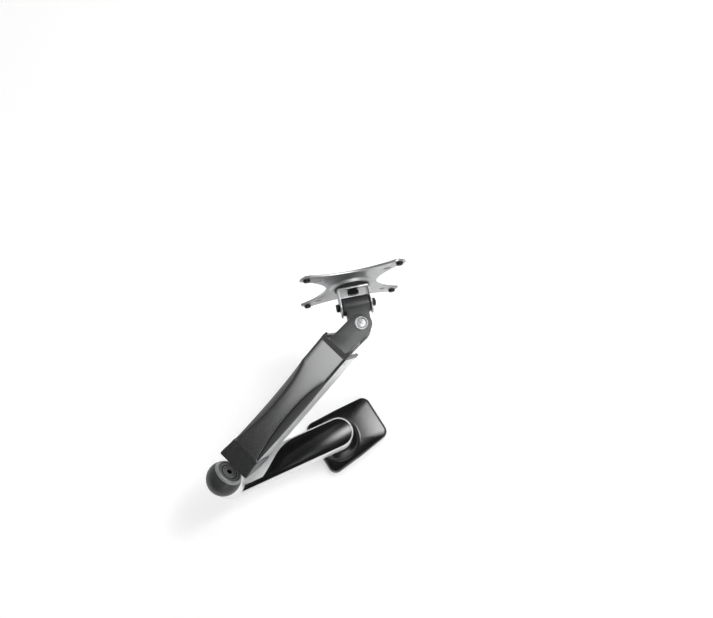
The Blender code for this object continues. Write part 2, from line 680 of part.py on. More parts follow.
def head_collar(parent):
    """Grey frame round the casing's head end, following its slanted cut, with two pairs of lugs."""
    outer = CASING_HALF + 0.0001
    inner = outer - 0.0027
    roof = CASING_TOP - 0.0026
    rings = [u_section(x, outer, inner, PANEL_TOP, roof, CASING_BOTTOM + 0.003, 0.0018)
             for x in (0.14, 0.19)]
    collar = add("head_collar", loft(rings), GREY_CAST, parent, 30.0)
    low, high = -0.06, 0.03
    near, far = GAP, 0.0048
    back = [(0.10, low), (front_edge(low) + near, low), (front_edge(high) + near, high), (0.10, high)]
    boolean(collar, helper("collar_back", prism(back, -0.03, 0.03, "Y"), parent))
    front = [(front_edge(low) + far, low), (0.25, low), (0.25, high), (front_edge(high) + far, high)]
    boolean(collar, helper("collar_front", prism(front, -0.03, 0.03, "Y"), parent))
    lugs = ((0.0157, 0.0178, 0.0085, 0.0128), (0.0132, 0.0143, 0.0110, 0.0136))
    for i, (inside, outside, low, high) in enumerate(lugs):
        for k, (left, right) in enumerate(((inside, outside), (-outside, -inside))):
            lug = prism([(left, low), (right, low), (right, high), (left, high)], 0.1740, 0.1790, "X")
            boolean(collar, helper("collar_lug_%d" % (2 * i + k), lug, parent), "UNION")


def pivot_pin(name, half, radius, x, z, parent):
    """A plain cross pin along Y."""
    pin = along_y(rod(radius, -half, half, 16, 0.0005), (x, 0, z))
    add(name, pin, STEEL, parent)


def lower_strut(parent):
    """Lower channel of the parallelogram, open above, which closes the casing's underside."""
    outer, inner = STRUT_HALF, 0.0128
    side = arc((0, 0), 0.0090, 90, 200, 8) + [(-0.0070, -0.0106)]
    side += [(LINK_LENGTH + 0.0060, -0.0106)] + arc((LINK_LENGTH, 0), 0.0090, -45, 90, 8)
    body = add("lower_strut", prism(side, -outer, outer, "Y"), BLACK_MATTE, parent)
    hollow = [(-0.03, -0.02), (0.0045, -0.02), (0.0045, -0.0086), (LINK_LENGTH, -0.0086),
              (LINK_LENGTH, -0.02), (LINK_LENGTH + 0.03, -0.02), (LINK_LENGTH + 0.03, 0.02), (-0.03, 0.02)]
    boolean(body, helper("strut_hollow", prism(hollow, -inner, inner, "Y"), parent))
    for i, x in enumerate((0, LINK_LENGTH)):
        hole = along_y(rod(PIN_RADIUS + GAP, -0.03, 0.03), (x, 0, 0))
        boolean(body, helper("strut_hole_%d" % i, hole, parent))


# ---------------------------------------------------------------- gas spring

def gas_spring(frame_spring, length):
    """Cylinder hung on the casing's pin and the rod that reaches the elbow bracket's pin."""
    eye_outer, eye_half = 0.0066, 0.0040
    barrel = turned([(0, 0.0110), (0.0060, 0.0110), (0.0085, 0.0125), (0.0085, 0.0880), (0.0070, 0.0900),
                     (0.0037, 0.0900), (0.0037, 0.0140), (0, 0.0140)], 24)
    cylinder = add("gas_spring_cylinder", aim(barrel, (1, 0, 0)), BLACK_MATTE, frame_spring)
    eye = along_y(rod(eye_outer, -eye_half, eye_half))
    boolean(cylinder, helper("cylinder_eye", eye, frame_spring), "UNION")
    neck = prism([(0, -0.0040), (0.0125, -0.0040), (0.0125, 0.0040), (0, 0.0040)], -0.0035, 0.0035, "Y")
    boolean(cylinder, helper("cylinder_neck", neck, frame_spring), "UNION")
    hole = along_y(rod(SPRING_PIN_RADIUS + GAP, -0.02, 0.02))
    boolean(cylinder, helper("cylinder_hole", hole, frame_spring))
    shaft = aim(rod(0.0034, 0.0360, length - 0.0062, 20), (1, 0, 0))
    piston = add("gas_spring_rod", shaft, STEEL, frame_spring)
    far_eye = along_y(rod(0.0070, -eye_half, eye_half, 24), (length, 0, 0))
    boolean(piston, helper("rod_eye", far_eye, frame_spring), "UNION")
    loose_hole = along_y(rod(SPRING_PIN_RADIUS + 0.0020, -0.02, 0.02), (length, 0, 0))
    boolean(piston, helper("rod_hole", loose_hole, frame_spring))


# ---------------------------------------------------------------- head

def head_bracket(parent):
    """Level bracket: two pivot barrels at the back and the pan fork in front."""
    middle = HEAD_CENTRE - (PIVOT_HEIGHT + LINK_LENGTH * math.sin(math.radians(LIFT_ANGLE)))
    top = middle + FORK_HALF
    bottom = middle - FORK_HALF
    low = -PIVOT_SPACING
    side = arc((0, low), 0.0080, 180, 300, 10)
    side += [(0.0200, bottom), (0.06, bottom), (0.06, top), (0.0100, top)]
    side += arc((0, 0), 0.0085, 25, 180, 12)
    body = add("head_bracket", prism(side, -HEAD_HALF, HEAD_HALF, "Y"), GREY_CAST, parent, 30.0)
    plan = [(-0.02, -HEAD_HALF - 0.001), (PAN_REACH - 0.004, -HEAD_HALF - 0.001)]
    plan += arc((PAN_REACH, 0), 0.0120, -90, 90, 14)
    plan += [(PAN_REACH - 0.004, HEAD_HALF + 0.001), (-0.02, HEAD_HALF + 0.001)]
    boolean(body, helper("bracket_plan", prism(plan, -0.06, 0.06), parent), "INTERSECT")
    mouth = FORK_HALF - EAR_THICK
    slot = [(0.0300, middle - mouth), (0.08, middle - mouth),
            (0.08, middle + mouth), (0.0300, middle + mouth)]
    boolean(body, helper("fork_mouth", prism(slot, -0.03, 0.03, "Y"), parent))
    pin = rod(PAN_PIN_RADIUS + GAP, -0.06, 0.06)
    bmesh.ops.translate(pin, vec=(PAN_REACH, 0, 0), verts=pin.verts)
    boolean(body, helper("pan_hole", pin, parent))
    for i, height in enumerate((0, low)):
        hole = along_y(rod(PIN_RADIUS + GAP, -0.03, 0.03), (0, 0, height))
        boolean(body, helper("bracket_hole_%d" % i, hole, parent))
    window = prism(hull([(0.0200, middle, 0.0030), (0.0250, middle, 0.0030)]), -0.03, -0.0085, "Y")
    boolean(body, helper("side_slot", window, parent))


def pan_parts(parent):
    """Pan pin with a wide flat head, and the two friction washers in the fork."""
    top = FORK_HALF
    profile = [(0, -top - 0.0020), (0.0064, -top - 0.0020), (0.0068, -top - GAP),
               (PAN_PIN_RADIUS, -top - GAP), (PAN_PIN_RADIUS, top + GAP), (0.0075, top + GAP),
               (0.0075, top + 0.0011), (0.0068, top + 0.0018), (0.0060, top + 0.0018),
               (0.0056, top + 0.0013), (0, top + 0.0013)]
    add("pan_pin", turned(profile, 24), STEEL, parent)
    mouth = FORK_HALF - EAR_THICK
    thick = 0.0010
    bore = PAN_PIN_RADIUS + GAP
    upper = tube(bore, 0.0105, mouth - GAP - thick, mouth - GAP)
    lower = tube(bore, 0.0105, GAP - mouth, GAP + thick - mouth)
    add("pan_washer_upper", upper, BLACK_MATTE, parent)
    add("pan_washer_lower", lower, BLACK_MATTE, parent)


def tilt_knuckle(parent):
    """Tongue on the pan pin that carries the level tilt barrel."""
    tongue = FORK_HALF - EAR_THICK - 0.0016
    plan = arc((0, 0), 0.0115, 90, 270, 14) + [(TILT_REACH, -0.0130), (TILT_REACH, 0.0130)]
    body = add("tilt_knuckle", prism(plan, -tongue, tongue), GREY_CAST, parent)
    axis = (TILT_REACH, 0, 0)
    barrel = along_y(rod(BARREL_RADIUS, -BARREL_HALF, BARREL_HALF, 32, 0.0006), axis)
    boolean(body, helper("tilt_barrel", barrel, parent), "UNION")
    boolean(body, helper("tongue_hole", rod(PAN_PIN_RADIUS + GAP, -0.03, 0.03), parent))
    boolean(body, helper("barrel_hole", along_y(rod(TILT_BORE, -0.03, 0.03), axis), parent))


def tilt_bracket(parent):
    """Steel clevis: a back plate with a centre hole and two side ears round the barrel."""
    front = CLEVIS_BACK + 0.0023
    ear_root = CLEVIS_BACK + 0.0010
    half_height = 0.0125
    web = rounded([(-EAR_OUT, -half_height), (EAR_OUT, -half_height), (EAR_OUT, half_height),
                   (-EAR_OUT, half_height)], 0.0015, 3)
    body = add("tilt_bracket", prism(web, CLEVIS_BACK, front, "X"), STEEL, parent)
    ear = hull([(0, 0, 0.0118), (ear_root, 0.0105, 0.0013), (ear_root, -0.0105, 0.0013)], 32)
    for i, (low, high) in enumerate(((EAR_IN, EAR_OUT), (-EAR_OUT, -EAR_IN))):
        boolean(body, helper("clevis_ear_%d" % i, prism(ear, low, high, "Y"), parent), "UNION")
    boolean(body, helper("clevis_bolt_hole", along_y(rod(TILT_BORE, -0.03, 0.03)), parent))
    boolean(body, helper("clevis_centre_hole", aim(rod(TURN_BORE, 0.0, 0.05), (1, 0, 0)), parent))


def tilt_fixings(parent):
    """Tilt bolt with its hex head and nut, and the washers beside the barrel."""
    head = along_y(hexagon(TILT_HEX, EAR_OUT + GAP, EAR_OUT + 0.0043))
    bolt_piece = add("tilt_bolt", head, BLACK_STEEL, parent)
    shank = along_y(rod(TILT_BORE - GAP, -EAR_OUT - 0.0048, EAR_OUT + 0.0010, 20))
    boolean(bolt_piece, helper("tilt_shank", shank, parent), "UNION")
    nut = along_y(hexagon(TILT_HEX, -EAR_OUT - 0.0041, -EAR_OUT - GAP))
    nut_piece = add("tilt_nut", nut, BLACK_STEEL, parent)
    boolean(nut_piece, helper("tilt_nut_bore", along_y(rod(TILT_BORE, -0.03, 0.03, 20)), parent))
    for name, side in (("tilt_washer_right", -1), ("tilt_washer_left", 1)):
        near, far = sorted((side * (BARREL_HALF + 0.0002), side * (EAR_IN - 0.0002)))
        add(name, along_y(tube(TILT_BORE, 0.0085, near, far, 24)), BLACK_MATTE, parent)


def turn_fixings(parent):
    """Centre bolt that holds the screw plate to the clevis, its nut and the friction ring."""
    plate_back = SCREW_PLATE_REACH - SCREW_PLATE_THICK
    ring = tube(TURN_BORE, 0.0200, SCREW_PLATE_REACH - 0.0069, plate_back - 0.0034)
    add("turn_friction_ring", aim(ring, (1, 0, 0)), BLACK_MATTE, parent)
    head = SCREW_PLATE_REACH - 0.0029
    bolt = turned([(0, 0.0118), (0.0040, 0.0118), (0.0040, head), (0.0080, head), (0.0080, head + 0.0014),
                   (0.0070, head + 0.0020), (0, head + 0.0020)], 24)
    add("turn_bolt", aim(bolt, (1, 0, 0)), BLACK_STEEL, parent)
    nut = hexagon(0.0120, CLEVIS_BACK - 0.0041, CLEVIS_BACK - GAP)
    nut_piece = add("turn_nut", aim(nut, (1, 0, 0)), BLACK_STEEL, parent)
    boolean(nut_piece, helper("turn_nut_bore", aim(rod(TURN_BORE, 0, 0.05), (1, 0, 0)), parent))


def screw_plate_outline():
    """Four-armed plate: deep scallops at the sides and shallow ones above and below."""
    half = SCREW_PLATE_HALF
    tip = SCREW_PLATE_TIP
    steps = 10
    points = []
    for k in range(4):
        depth = 0.0290 if k % 2 == 0 else 0.0110
        low, high = tip - half, half - tip
        edge = [(half, low)]
        for i in range(1, steps):
            part = i / steps
            bump = math.sin(math.pi * part) ** 0.8
            edge.append((half - depth * bump, low + (high - low) * part))
        edge.append((half, high))
        edge += arc((half - tip, half - tip), tip, 0, 90, 6)[1:]
        cos, sin = math.cos(math.radians(90 * k)), math.sin(math.radians(90 * k))
        for x, y in edge[:-1]:
            points.append((x * cos - y * sin, x * sin + y * cos))
    return points


def screw_plate(parent):
    """Screw plate with a raised round centre, slotted 75 mm holes and round 100 mm holes."""
    outline = screw_plate_outline()
    face, back = 0.0, -SCREW_PLATE_THICK
    plate = add("screw_plate", prism(outline, back, face, "X"), STEEL, parent)
    dish = turned([(0, 0.0018), (0.0265, 0.0018), (0.0230, 0.0056), (0, 0.0056)], 24)
    boolean(plate, helper("dish_outside", aim(dish, (-1, 0, 0)), parent), "UNION")
    hollow = turned([(0, -0.001), (0.0240, -0.001), (0.0240, 0.0004), (0.0212, 0.0033), (0, 0.0033)], 24)
    boolean(plate, helper("dish_inside", aim(hollow, (-1, 0, 0)), parent))
    bore = turned([(0, -0.01), (TURN_BORE, -0.01), (TURN_BORE, 0.02), (0, 0.02)], 20, 4.0)
    boolean(plate, helper("turn_bolt_hole", aim(bore, (-1, 0, 0)), parent))
    inner, outer = SCREW_PITCHES
    for i, (sy, sz) in enumerate(((1, 1), (-1, 1), (-1, -1), (1, -1))):
        hole = aim(rod(0.0023, -0.01, 0.01, 16), (1, 0, 0), (0, sy * outer, sz * outer))
        boolean(plate, helper("corner_hole_%d" % i, hole, parent))
        slot = prism([(y + sy * inner, z + sz * inner) for y, z in stadium(-0.0016, 0.0016, 0.0024, 8)],
                     -0.01, 0.01, "X")
        boolean(plate, helper("inner_slot_%d" % i, slot, parent))
        screw = turned([(0, -0.0016), (0.0020, -0.0016), (0.0020, 0.0028), (0.0039, 0.0028),
                        (0.0039, 0.0046), (0.0030, 0.0054), (0, 0.0054)], 20)
        screw = aim(screw, (-1, 0, 0), (0, sy * outer, sz * outer))
        add("screen_screw_%d" % (i + 1), screw, BLACK_STEEL, parent)


# ---------------------------------------------------------------- assembly

def heading(angle):
    """Unit vector in the desk plane."""
    return Vector((math.cos(math.radians(angle)), math.sin(math.radians(angle)), 0))


def build():
    """Place a frame on each joint and hang the pieces on it."""
    clear_scene()
    mounting_plate()
    base_screws()
    base_cover()
    column()

    lower = frame("frame_base_swivel", (0, 0, 0), LOWER_HEADING)
    lower_link(lower)
    elbow_axis = heading(LOWER_HEADING) * LOWER_LENGTH
    fixed_shaft = frame("frame_elbow_shaft", elbow_axis, LOWER_HEADING)
    elbow_shaft(fixed_shaft)
    elbow_fixings(fixed_shaft)

    elbow = frame("frame_elbow_swivel", elbow_axis, UPPER_HEADING)
    elbow_housing(elbow)
    elbow_cap(elbow)
    disc = frame("frame_tension_screw", (0, 0, 0))
    disc.parent = elbow
    disc.matrix_world = (Matrix.Translation(elbow_axis + Vector((0, 0, DOME_CENTRE)))
                         @ Matrix.Rotation(math.radians(UPPER_HEADING), 4, "Z")
                         @ Matrix.Rotation(math.radians(90 - DISC_TILT), 4, "Y")
                         @ Matrix.Translation((0, 0, DISC_DISTANCE)))
    adjuster(disc)

    forward = heading(UPPER_HEADING)
    up = Vector((0, 0, 1))
    lift_pivot = elbow_axis + forward * PIVOT_REACH + up * PIVOT_HEIGHT
    lift = frame("frame_lift", lift_pivot, UPPER_HEADING, LIFT_ANGLE)
    casing(lift)
    top_panel(lift)
    shoulder_inlay("shoulder_inlay_left", 1, lift)
    shoulder_inlay("shoulder_inlay_right", -1, lift)
    elbow_end_cap(lift)
    head_collar(lift)
    pin_half = CASING_HALF - PIN_SPARE
    pivot_pin("lift_pin_elbow", pin_half, PIN_RADIUS, 0, 0, lift)
    pivot_pin("lift_pin_head", pin_half, PIN_RADIUS, LINK_LENGTH, 0, lift)
    pivot_pin("spring_pin_casing", pin_half, SPRING_PIN_RADIUS, *SPRING_SEAT, lift)

    strut = frame("frame_strut", lift_pivot - up * PIVOT_SPACING, UPPER_HEADING, LIFT_ANGLE)
    lower_strut(strut)
    pin_half = STRUT_HALF - PIN_SPARE
    pivot_pin("strut_pin_elbow", pin_half, PIN_RADIUS, 0, 0, strut)
    pivot_pin("strut_pin_head", pin_half, PIN_RADIUS, LINK_LENGTH, 0, strut)
    spring_height = PIVOT_HEIGHT - SPRING_PIN_DROP
    pivot_pin("spring_pin_elbow", HEAD_HALF - GAP, SPRING_PIN_RADIUS, PIVOT_REACH, spring_height, elbow)

    climb = math.radians(LIFT_ANGLE)
    link = forward * math.cos(climb) + up * math.sin(climb)
    across = up * math.cos(climb) - forward * math.sin(climb)
    seat = lift_pivot + link * SPRING_SEAT[0] + across * SPRING_SEAT[1]
    anchor = lift_pivot - up * SPRING_PIN_DROP
    reach = anchor - seat
    level = math.degrees(math.atan2(reach.z, -reach.dot(forward)))
    spring = frame("frame_gas_spring", seat, UPPER_HEADING + 180, level)
    gas_spring(spring, reach.length)

    head_pivot = lift_pivot + link * LINK_LENGTH
    head = frame("frame_head_bracket", head_pivot, UPPER_HEADING)
    head_bracket(head)

    pan_axis = head_pivot + forward * PAN_REACH
    pan_axis.z = HEAD_CENTRE
    pan_parts(frame("frame_pan_pin", pan_axis, UPPER_HEADING))
    pan = frame("frame_pan", pan_axis, SCREEN_HEADING)
    tilt_knuckle(pan)

    tilt_axis = pan_axis + heading(SCREEN_HEADING) * TILT_REACH
    tilt = frame("frame_tilt", tilt_axis, SCREEN_HEADING)
    tilt_bracket(tilt)
    tilt_fixings(tilt)
    turn_fixings(tilt)

    face = tilt_axis + heading(SCREEN_HEADING) * SCREW_PLATE_REACH
    screw_plate(frame("frame_turn", face, SCREEN_HEADING))


build()
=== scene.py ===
"""Looks of the monitor arm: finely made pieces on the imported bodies, their finishes, a pale floor,
soft studio lights and the camera. Metres, +Z up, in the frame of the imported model."""

import json
from math import asin, atan2, cos, hypot, pi, radians, sin, sqrt, tan

import bmesh
import bpy
from mathutils import Matrix, Vector


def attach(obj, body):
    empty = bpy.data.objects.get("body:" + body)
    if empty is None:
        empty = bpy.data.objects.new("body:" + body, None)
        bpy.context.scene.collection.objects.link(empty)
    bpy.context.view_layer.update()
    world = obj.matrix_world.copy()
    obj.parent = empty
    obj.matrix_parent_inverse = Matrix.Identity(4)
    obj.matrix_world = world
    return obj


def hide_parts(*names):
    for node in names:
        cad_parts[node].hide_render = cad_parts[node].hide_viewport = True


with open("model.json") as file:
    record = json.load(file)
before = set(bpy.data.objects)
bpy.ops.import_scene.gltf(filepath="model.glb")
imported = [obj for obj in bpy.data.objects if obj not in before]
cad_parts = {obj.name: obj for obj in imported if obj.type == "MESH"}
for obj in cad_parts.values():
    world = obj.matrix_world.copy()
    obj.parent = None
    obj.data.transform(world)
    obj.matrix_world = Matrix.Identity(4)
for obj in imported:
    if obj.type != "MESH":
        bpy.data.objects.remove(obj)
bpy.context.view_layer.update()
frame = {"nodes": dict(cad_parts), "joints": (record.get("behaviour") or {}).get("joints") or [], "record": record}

UP = Vector((0, 0, 1))
GAP = 0.0003                     # space between pieces that touch
JOINTS = {joint["name"]: joint for joint in frame["joints"]}
SLOTS = {part["node"]: part["material_slot"] for part in frame["record"]["subparts"]}

# Base
BASE_NARROW_END = -0.0645
BASE_WIDE_END = 0.0290
BASE_NARROW_HALF = 0.0300
BASE_WIDE_HALF = 0.0385
BASE_CORNER = 0.0110
BASE_BOW = 0.0012                # outward bow of the long sides
COVER_TOP = 0.0180
COVER_WALL = 0.0024
HEM = 0.0006                     # level of the cover's lower edge
BOSS_TOP = 0.0478
BOSS_NECK = 0.0212
BOSS_FLARE = 0.0095
BOSS_RISE = 0.0135
RIM_WIDTH = 0.0030               # width of the cover's rounded rim
CROWN_FALL = 0.0022              # fall of its top from the boss to the rim
EDGE_HEIGHT = 0.0060
COLUMN_RADIUS = 0.0130
JOURNAL_RADIUS = 0.0080

# Lower link
LOWER_RADIUS = 0.0185
LOWER_BOTTOM = 0.0490
LOWER_TOP = 0.0910
INLAY_THICK = 0.0018
INLAY_RIM = 0.0017
CROWN = 0.0008                   # fall of the link's top from its middle to its sides

# Elbow
HOUSING_RADIUS = 0.0202
HOUSING_BOTTOM = 0.0935
DOME_CENTRE = 0.1520
DISC_TILT = 38.0
DISC_DISTANCE = 0.0135
DISC_RADIUS = 0.0148
DISC_SEAT = DISC_DISTANCE - 0.0034

# Upper link
PIVOT_REACH = 0.0367
PIVOT_HEIGHT = 0.1705
PIVOT_SPACING = 0.0320
LINK_LENGTH = 0.1630
PIN_RADIUS = 0.0040
STRUT_EYE = 0.0090
STRUT_FLOOR = -0.0106
SPRING_PIN_DROP = 0.0185
SPRING_PIN_RADIUS = 0.0030
SPRING_SEAT = (0.1220, -0.0060)
CASING_HALF = 0.0180
CASING_WALL = 0.0029
CASING_TOP = 0.0130
PANEL_TOP = 0.0150
CASING_BOTTOM = -0.0430
SHOULDER_IN = 0.0088
SHOULDER_DROP = 0.0110
SHOULDER_THICK = 0.0019
SHOULDER_START = 0.0080          # along the link: where the shoulders start, are widest and end
SHOULDER_WIDEST = 0.0790
SHOULDER_END = 0.1375
LEDGE = -0.0135                  # level of the shallow step along the casing's walls
LEDGE_DEEP = 0.0005
LINK_START = 0.0130              # along the link: the first and last sections of its lofted pieces
LINK_END = 0.1716
FRONT_REACH = 0.1694             # the slanted head end of the casing, and its slant
FRONT_SLANT = 0.20

# Head
PAN_REACH = 0.0441
HEAD_CENTRE = 0.2450
HEAD_HALF = 0.0125
FORK_HALF = 0.0150
EAR_THICK = 0.0050
TILT_REACH = 0.0250
BARREL_RADIUS = 0.0100
BARREL_HALF = 0.0150
TILT_BORE = 0.0028
TILT_HEX = 0.0080
PLATE_REACH = 0.0260
PLATE_THICK = 0.0025
SCREW_PITCHES = (0.0375, 0.0500)
PAN_PIN_RADIUS = 0.0050
TURN_BORE = 0.0043               # for the centre bolt that the screen turns on
WEB_BACK = PLATE_REACH - 0.0095

# Studio
SURROUND = 0.55
SURROUND_DARK = 0.03             # the dark area low on the +X side
SURROUND_TOP = 0.10              # the dark area overhead
FLOOR_HALF = 4.0
FLOOR_GLOW = 0.40                # the floor is a lit table
LENS = 42.92                     # on a sensor 36 wide, both in millimetres
EYE = (0.0910, 0.0945, 1.1466)
EYE_RIGHT = (-0.8425, 0.5367, 0.0459)
EYE_AHEAD = (-0.1783, -0.1974, -0.9640)


# ---- places

def joint_place(name):
    """A joint's anchor in the row frame."""
    return Vector(JOINTS[name]["pos_m"])


def turned_frame(place, heading, climb=0.0):
    """A frame whose +X points along a heading and climbs, and whose +Y is level and to its left."""
    turn = Matrix.Rotation(heading, 4, "Z") @ Matrix.Rotation(-climb, 4, "Y")
    return Matrix.Translation(place) @ turn


def heading_of(direction):
    """Heading of a direction about +Z."""
    return atan2(direction.y, direction.x)


ELBOW_AXIS = joint_place("elbow_swivel")
LOWER_LENGTH = ELBOW_AXIS.xy.length
LOWER_HEADING = heading_of(ELBOW_AXIS)
LIFT_PIVOT = joint_place("lift")
HEAD_PIVOT = joint_place("head_level")
LINK = (HEAD_PIVOT - LIFT_PIVOT).normalized()
UPPER_HEADING = heading_of(LINK)
LIFT_ANGLE = asin(LINK.z)
SPRING_TOP = joint_place("spring_pivot")
SPRING_FOOT = LIFT_PIVOT - UP * SPRING_PIN_DROP
TILT_AXIS = joint_place("tilt")
SCREEN_HEADING = heading_of(TILT_AXIS - joint_place("pan"))

AT_BASE = Matrix.Identity(4)
AT_LOWER = turned_frame(Vector(), LOWER_HEADING)
AT_SHAFT = turned_frame(ELBOW_AXIS, LOWER_HEADING)
AT_ELBOW = turned_frame(ELBOW_AXIS, UPPER_HEADING)
AT_DISC = (AT_ELBOW @ Matrix.Translation((0, 0, DOME_CENTRE))
           @ Matrix.Rotation(radians(90 - DISC_TILT), 4, "Y")
           @ Matrix.Translation((0, 0, DISC_DISTANCE)))
AT_LIFT = turned_frame(LIFT_PIVOT, UPPER_HEADING, LIFT_ANGLE)
AT_STRUT = turned_frame(joint_place("strut_pivot"), UPPER_HEADING, LIFT_ANGLE)
SPRING_LINE = SPRING_FOOT - SPRING_TOP
AT_SPRING = turned_frame(SPRING_TOP, heading_of(SPRING_LINE),
                         atan2(SPRING_LINE.z, SPRING_LINE.xy.length))
AT_HEAD = turned_frame(HEAD_PIVOT, UPPER_HEADING)
AT_PAN_PIN = turned_frame(joint_place("pan"), UPPER_HEADING)
AT_PAN = turned_frame(joint_place("pan"), SCREEN_HEADING)
AT_TILT = turned_frame(TILT_AXIS, SCREEN_HEADING)
AT_FACE = turned_frame(joint_place("turn"), SCREEN_HEADING)


# ---- outlines

def arc(centre, radius, start, end, steps):
    """Points along an arc, angles in degrees."""
    points = []
    for i in range(steps + 1):
        angle = radians(start + (end - start) * i / steps)
        points.append((centre[0] + radius * cos(angle), centre[1] + radius * sin(angle)))
    return points


def bezier(start, pull, push, end, steps):
    """Points along a cubic curve."""
    points = []
    for i in range(steps + 1):
        t = i / steps
        shares = ((1 - t) ** 3, 3 * t * (1 - t) ** 2, 3 * t * t * (1 - t), t ** 3)
        points.append(tuple(sum(share * point[axis] for share, point in zip(shares, (start, pull, push, end)))
                            for axis in (0, 1)))
    return points


def box(x0, y0, x1, y1):
    """A rectangle between two corners."""
    return [(x0, y0), (x1, y0), (x1, y1), (x0, y1)]


def mirrored(points):
    """An outline's points on the other side of its second axis, in the opposite order."""
    return [(-x, y) for x, y in reversed(points)]


def rounded(corners, radii, steps=5):
    """An outline or profile with its corners turned into arcs; a radius of 0 keeps a corner sharp."""
    points = []
    count = len(corners)
    for i, corner in enumerate(corners):
        radius = radii[i] if isinstance(radii, (list, tuple)) else radii
        here = Vector(corner)
        if radius <= 0:
            points.append(tuple(here))
            continue
        back = (Vector(corners[i - 1]) - here).normalized()
        ahead = (Vector(corners[(i + 1) % count]) - here).normalized()
        half = back.angle(ahead) / 2
        centre = here + (back + ahead).normalized() * radius / sin(half)
        first = here + back * radius / tan(half) - centre
        last = here + ahead * radius / tan(half) - centre
        sweep = first.angle(last)
        for k in range(steps + 1):
            t = k / steps
            spoke = (first * sin((1 - t) * sweep) + last * sin(t * sweep)) / sin(sweep)
            points.append(tuple(centre + spoke))
    return points


def soft(profile, radius, steps=4):
    """A lathe profile with its corners rounded, apart from those on the axis."""
    radii = [radius if r > 1e-9 else 0 for r, z in profile]
    return rounded(profile, radii, steps)


def stadium(x0, x1, radius, steps=12):
    """A slot outline from x0 to x1, the centres of its round ends."""
    return arc((x1, 0), radius, -90, 90, steps) + arc((x0, 0), radius, 90, 270, steps)


def hull(circles, steps=48):
    """The outline of a belt round several circles given as (x, y, radius)."""
    cloud = []
    for x, y, radius in circles:
        cloud += arc((x, y), radius, 0, 360 - 360 / steps, steps - 1)
    cloud = sorted(set(cloud))

    def half(points):
        chain = []
        for point in points:
            while len(chain) > 1:
                (ax, ay), (bx, by) = chain[-2], chain[-1]
                if (bx - ax) * (point[1] - ay) - (by - ay) * (point[0] - ax) > 1e-12:
                    break
                chain.pop()
            chain.append(point)
        return chain[:-1]

    return half(cloud) + half(cloud[::-1])


def inset(outline, distance):
    """An outline moved inwards by a small distance."""
    count = len(outline)
    area = sum(outline[i - 1][0] * outline[i][1] - outline[i][0] * outline[i - 1][1] for i in range(count))
    turn = distance if area > 0 else -distance
    result = []
    for i in range(count):
        here = Vector(outline[i])
        before = here - Vector(outline[i - 1])
        after = Vector(outline[(i + 1) % count]) - here
        if before.length < 1e-9:
            before = after
        if after.length < 1e-9:
            after = before
        before, after = before.normalized(), after.normalized()
        one, two = Vector((-before.y, before.x)), Vector((-after.y, after.x))
        shift = (one + two) / max(1 + one.dot(two), 0.35)
        result.append(tuple(here + shift * turn))
    return result


# ---- solids

def loft(rings, closed=False):
    """A solid through rings with equal numbers of points: capped, or joined end to end."""
    made = bmesh.new()
    loops = [[made.verts.new(point) for point in ring] for ring in rings]
    count = len(loops[0])
    pairs = list(zip(loops, loops[1:]))
    if closed:
        pairs.append((loops[-1], loops[0]))
    for low, high in pairs:
        for i in range(count):
            j = (i + 1) % count
            made.faces.new((low[i], low[j], high[j], high[i]))
    if not closed:
        made.faces.new(list(reversed(loops[0])))
        made.faces.new(loops[-1])
    return made


def slab(outline, low, high, axis="Z", edge=0.0, edge_low=None, steps=3):
    """An outline pushed out between two levels along an axis, with rounded rims."""
    edge_low = edge if edge_low is None else edge_low
    levels = []
    for k in range(steps + 1 if edge_low else 1):
        angle = pi / 2 * k / steps
        levels.append((edge_low * (1 - sin(angle)), low + edge_low * (1 - cos(angle))))
    for k in range(steps + 1 if edge else 1):
        angle = pi / 2 * (1 - k / steps)
        levels.append((edge * (1 - sin(angle)), high - edge * (1 - cos(angle))))
    rings = []
    for depth, level in levels:
        ring = inset(outline, depth) if depth else outline
        if axis == "Z":
            rings.append([(x, y, level) for x, y in ring])
        elif axis == "Y":
            rings.append([(x, level, z) for x, z in ring])
        else:
            rings.append([(level, y, z) for y, z in ring])
    return loft(rings)


def lathe(profile, steps=64):
    """A solid of revolution about Z from a closed profile of (radius, height)."""
    made = bmesh.new()
    rows = []
    for radius, height in profile:
        if radius < 1e-9:
            rows.append([made.verts.new((0, 0, height))])
            continue
        row = []
        for i in range(steps):
            angle = 2 * pi * i / steps
            row.append(made.verts.new((radius * cos(angle), radius * sin(angle), height)))
        rows.append(row)
    for low, high in zip(rows, rows[1:] + rows[:1]):
        if len(low) == 1 and len(high) == 1:
            continue
        for i in range(steps):
            j = (i + 1) % steps
            if len(low) == 1:
                made.faces.new((low[0], high[j], high[i]))
            elif len(high) == 1:
                made.faces.new((low[i], low[j], high[0]))
            else:
                made.faces.new((low[i], low[j], high[j], high[i]))
    return made


def plug(profile, steps, phase=0.0):
    """Stacked circles about Z, given as (radius, height), with flat ends of one face each."""
    rings = []
    for radius, height in profile:
        bearings = [2 * pi * i / steps + phase for i in range(steps)]
        rings.append([(radius * cos(angle), radius * sin(angle), height) for angle in bearings])
    return loft(rings)


def rod(radius, low, high, steps=48, edge=0.0):
    """A round bar along Z with rounded rims."""
    profile = [(0, low), (radius, low), (radius, high), (0, high)]
    return lathe(soft(profile, edge) if edge else profile, steps)


def tube(inner, outer, low, high, steps=48, edge=0.0002):
    """A round sleeve along Z."""
    return lathe(soft([(inner, low), (outer, low), (outer, high), (inner, high)], edge, 2), steps)


def flare_hole(radius, low, high, rim=0.0003):
    """A cutter for a hole along Z whose two mouths are slightly chamfered at low and high."""
    far = 0.001
    return lathe([(0, low - far), (radius + rim + far, low - far), (radius, low + rim), (radius, high - rim),
                  (radius + rim + far, high + far), (0, high + far)], 32)


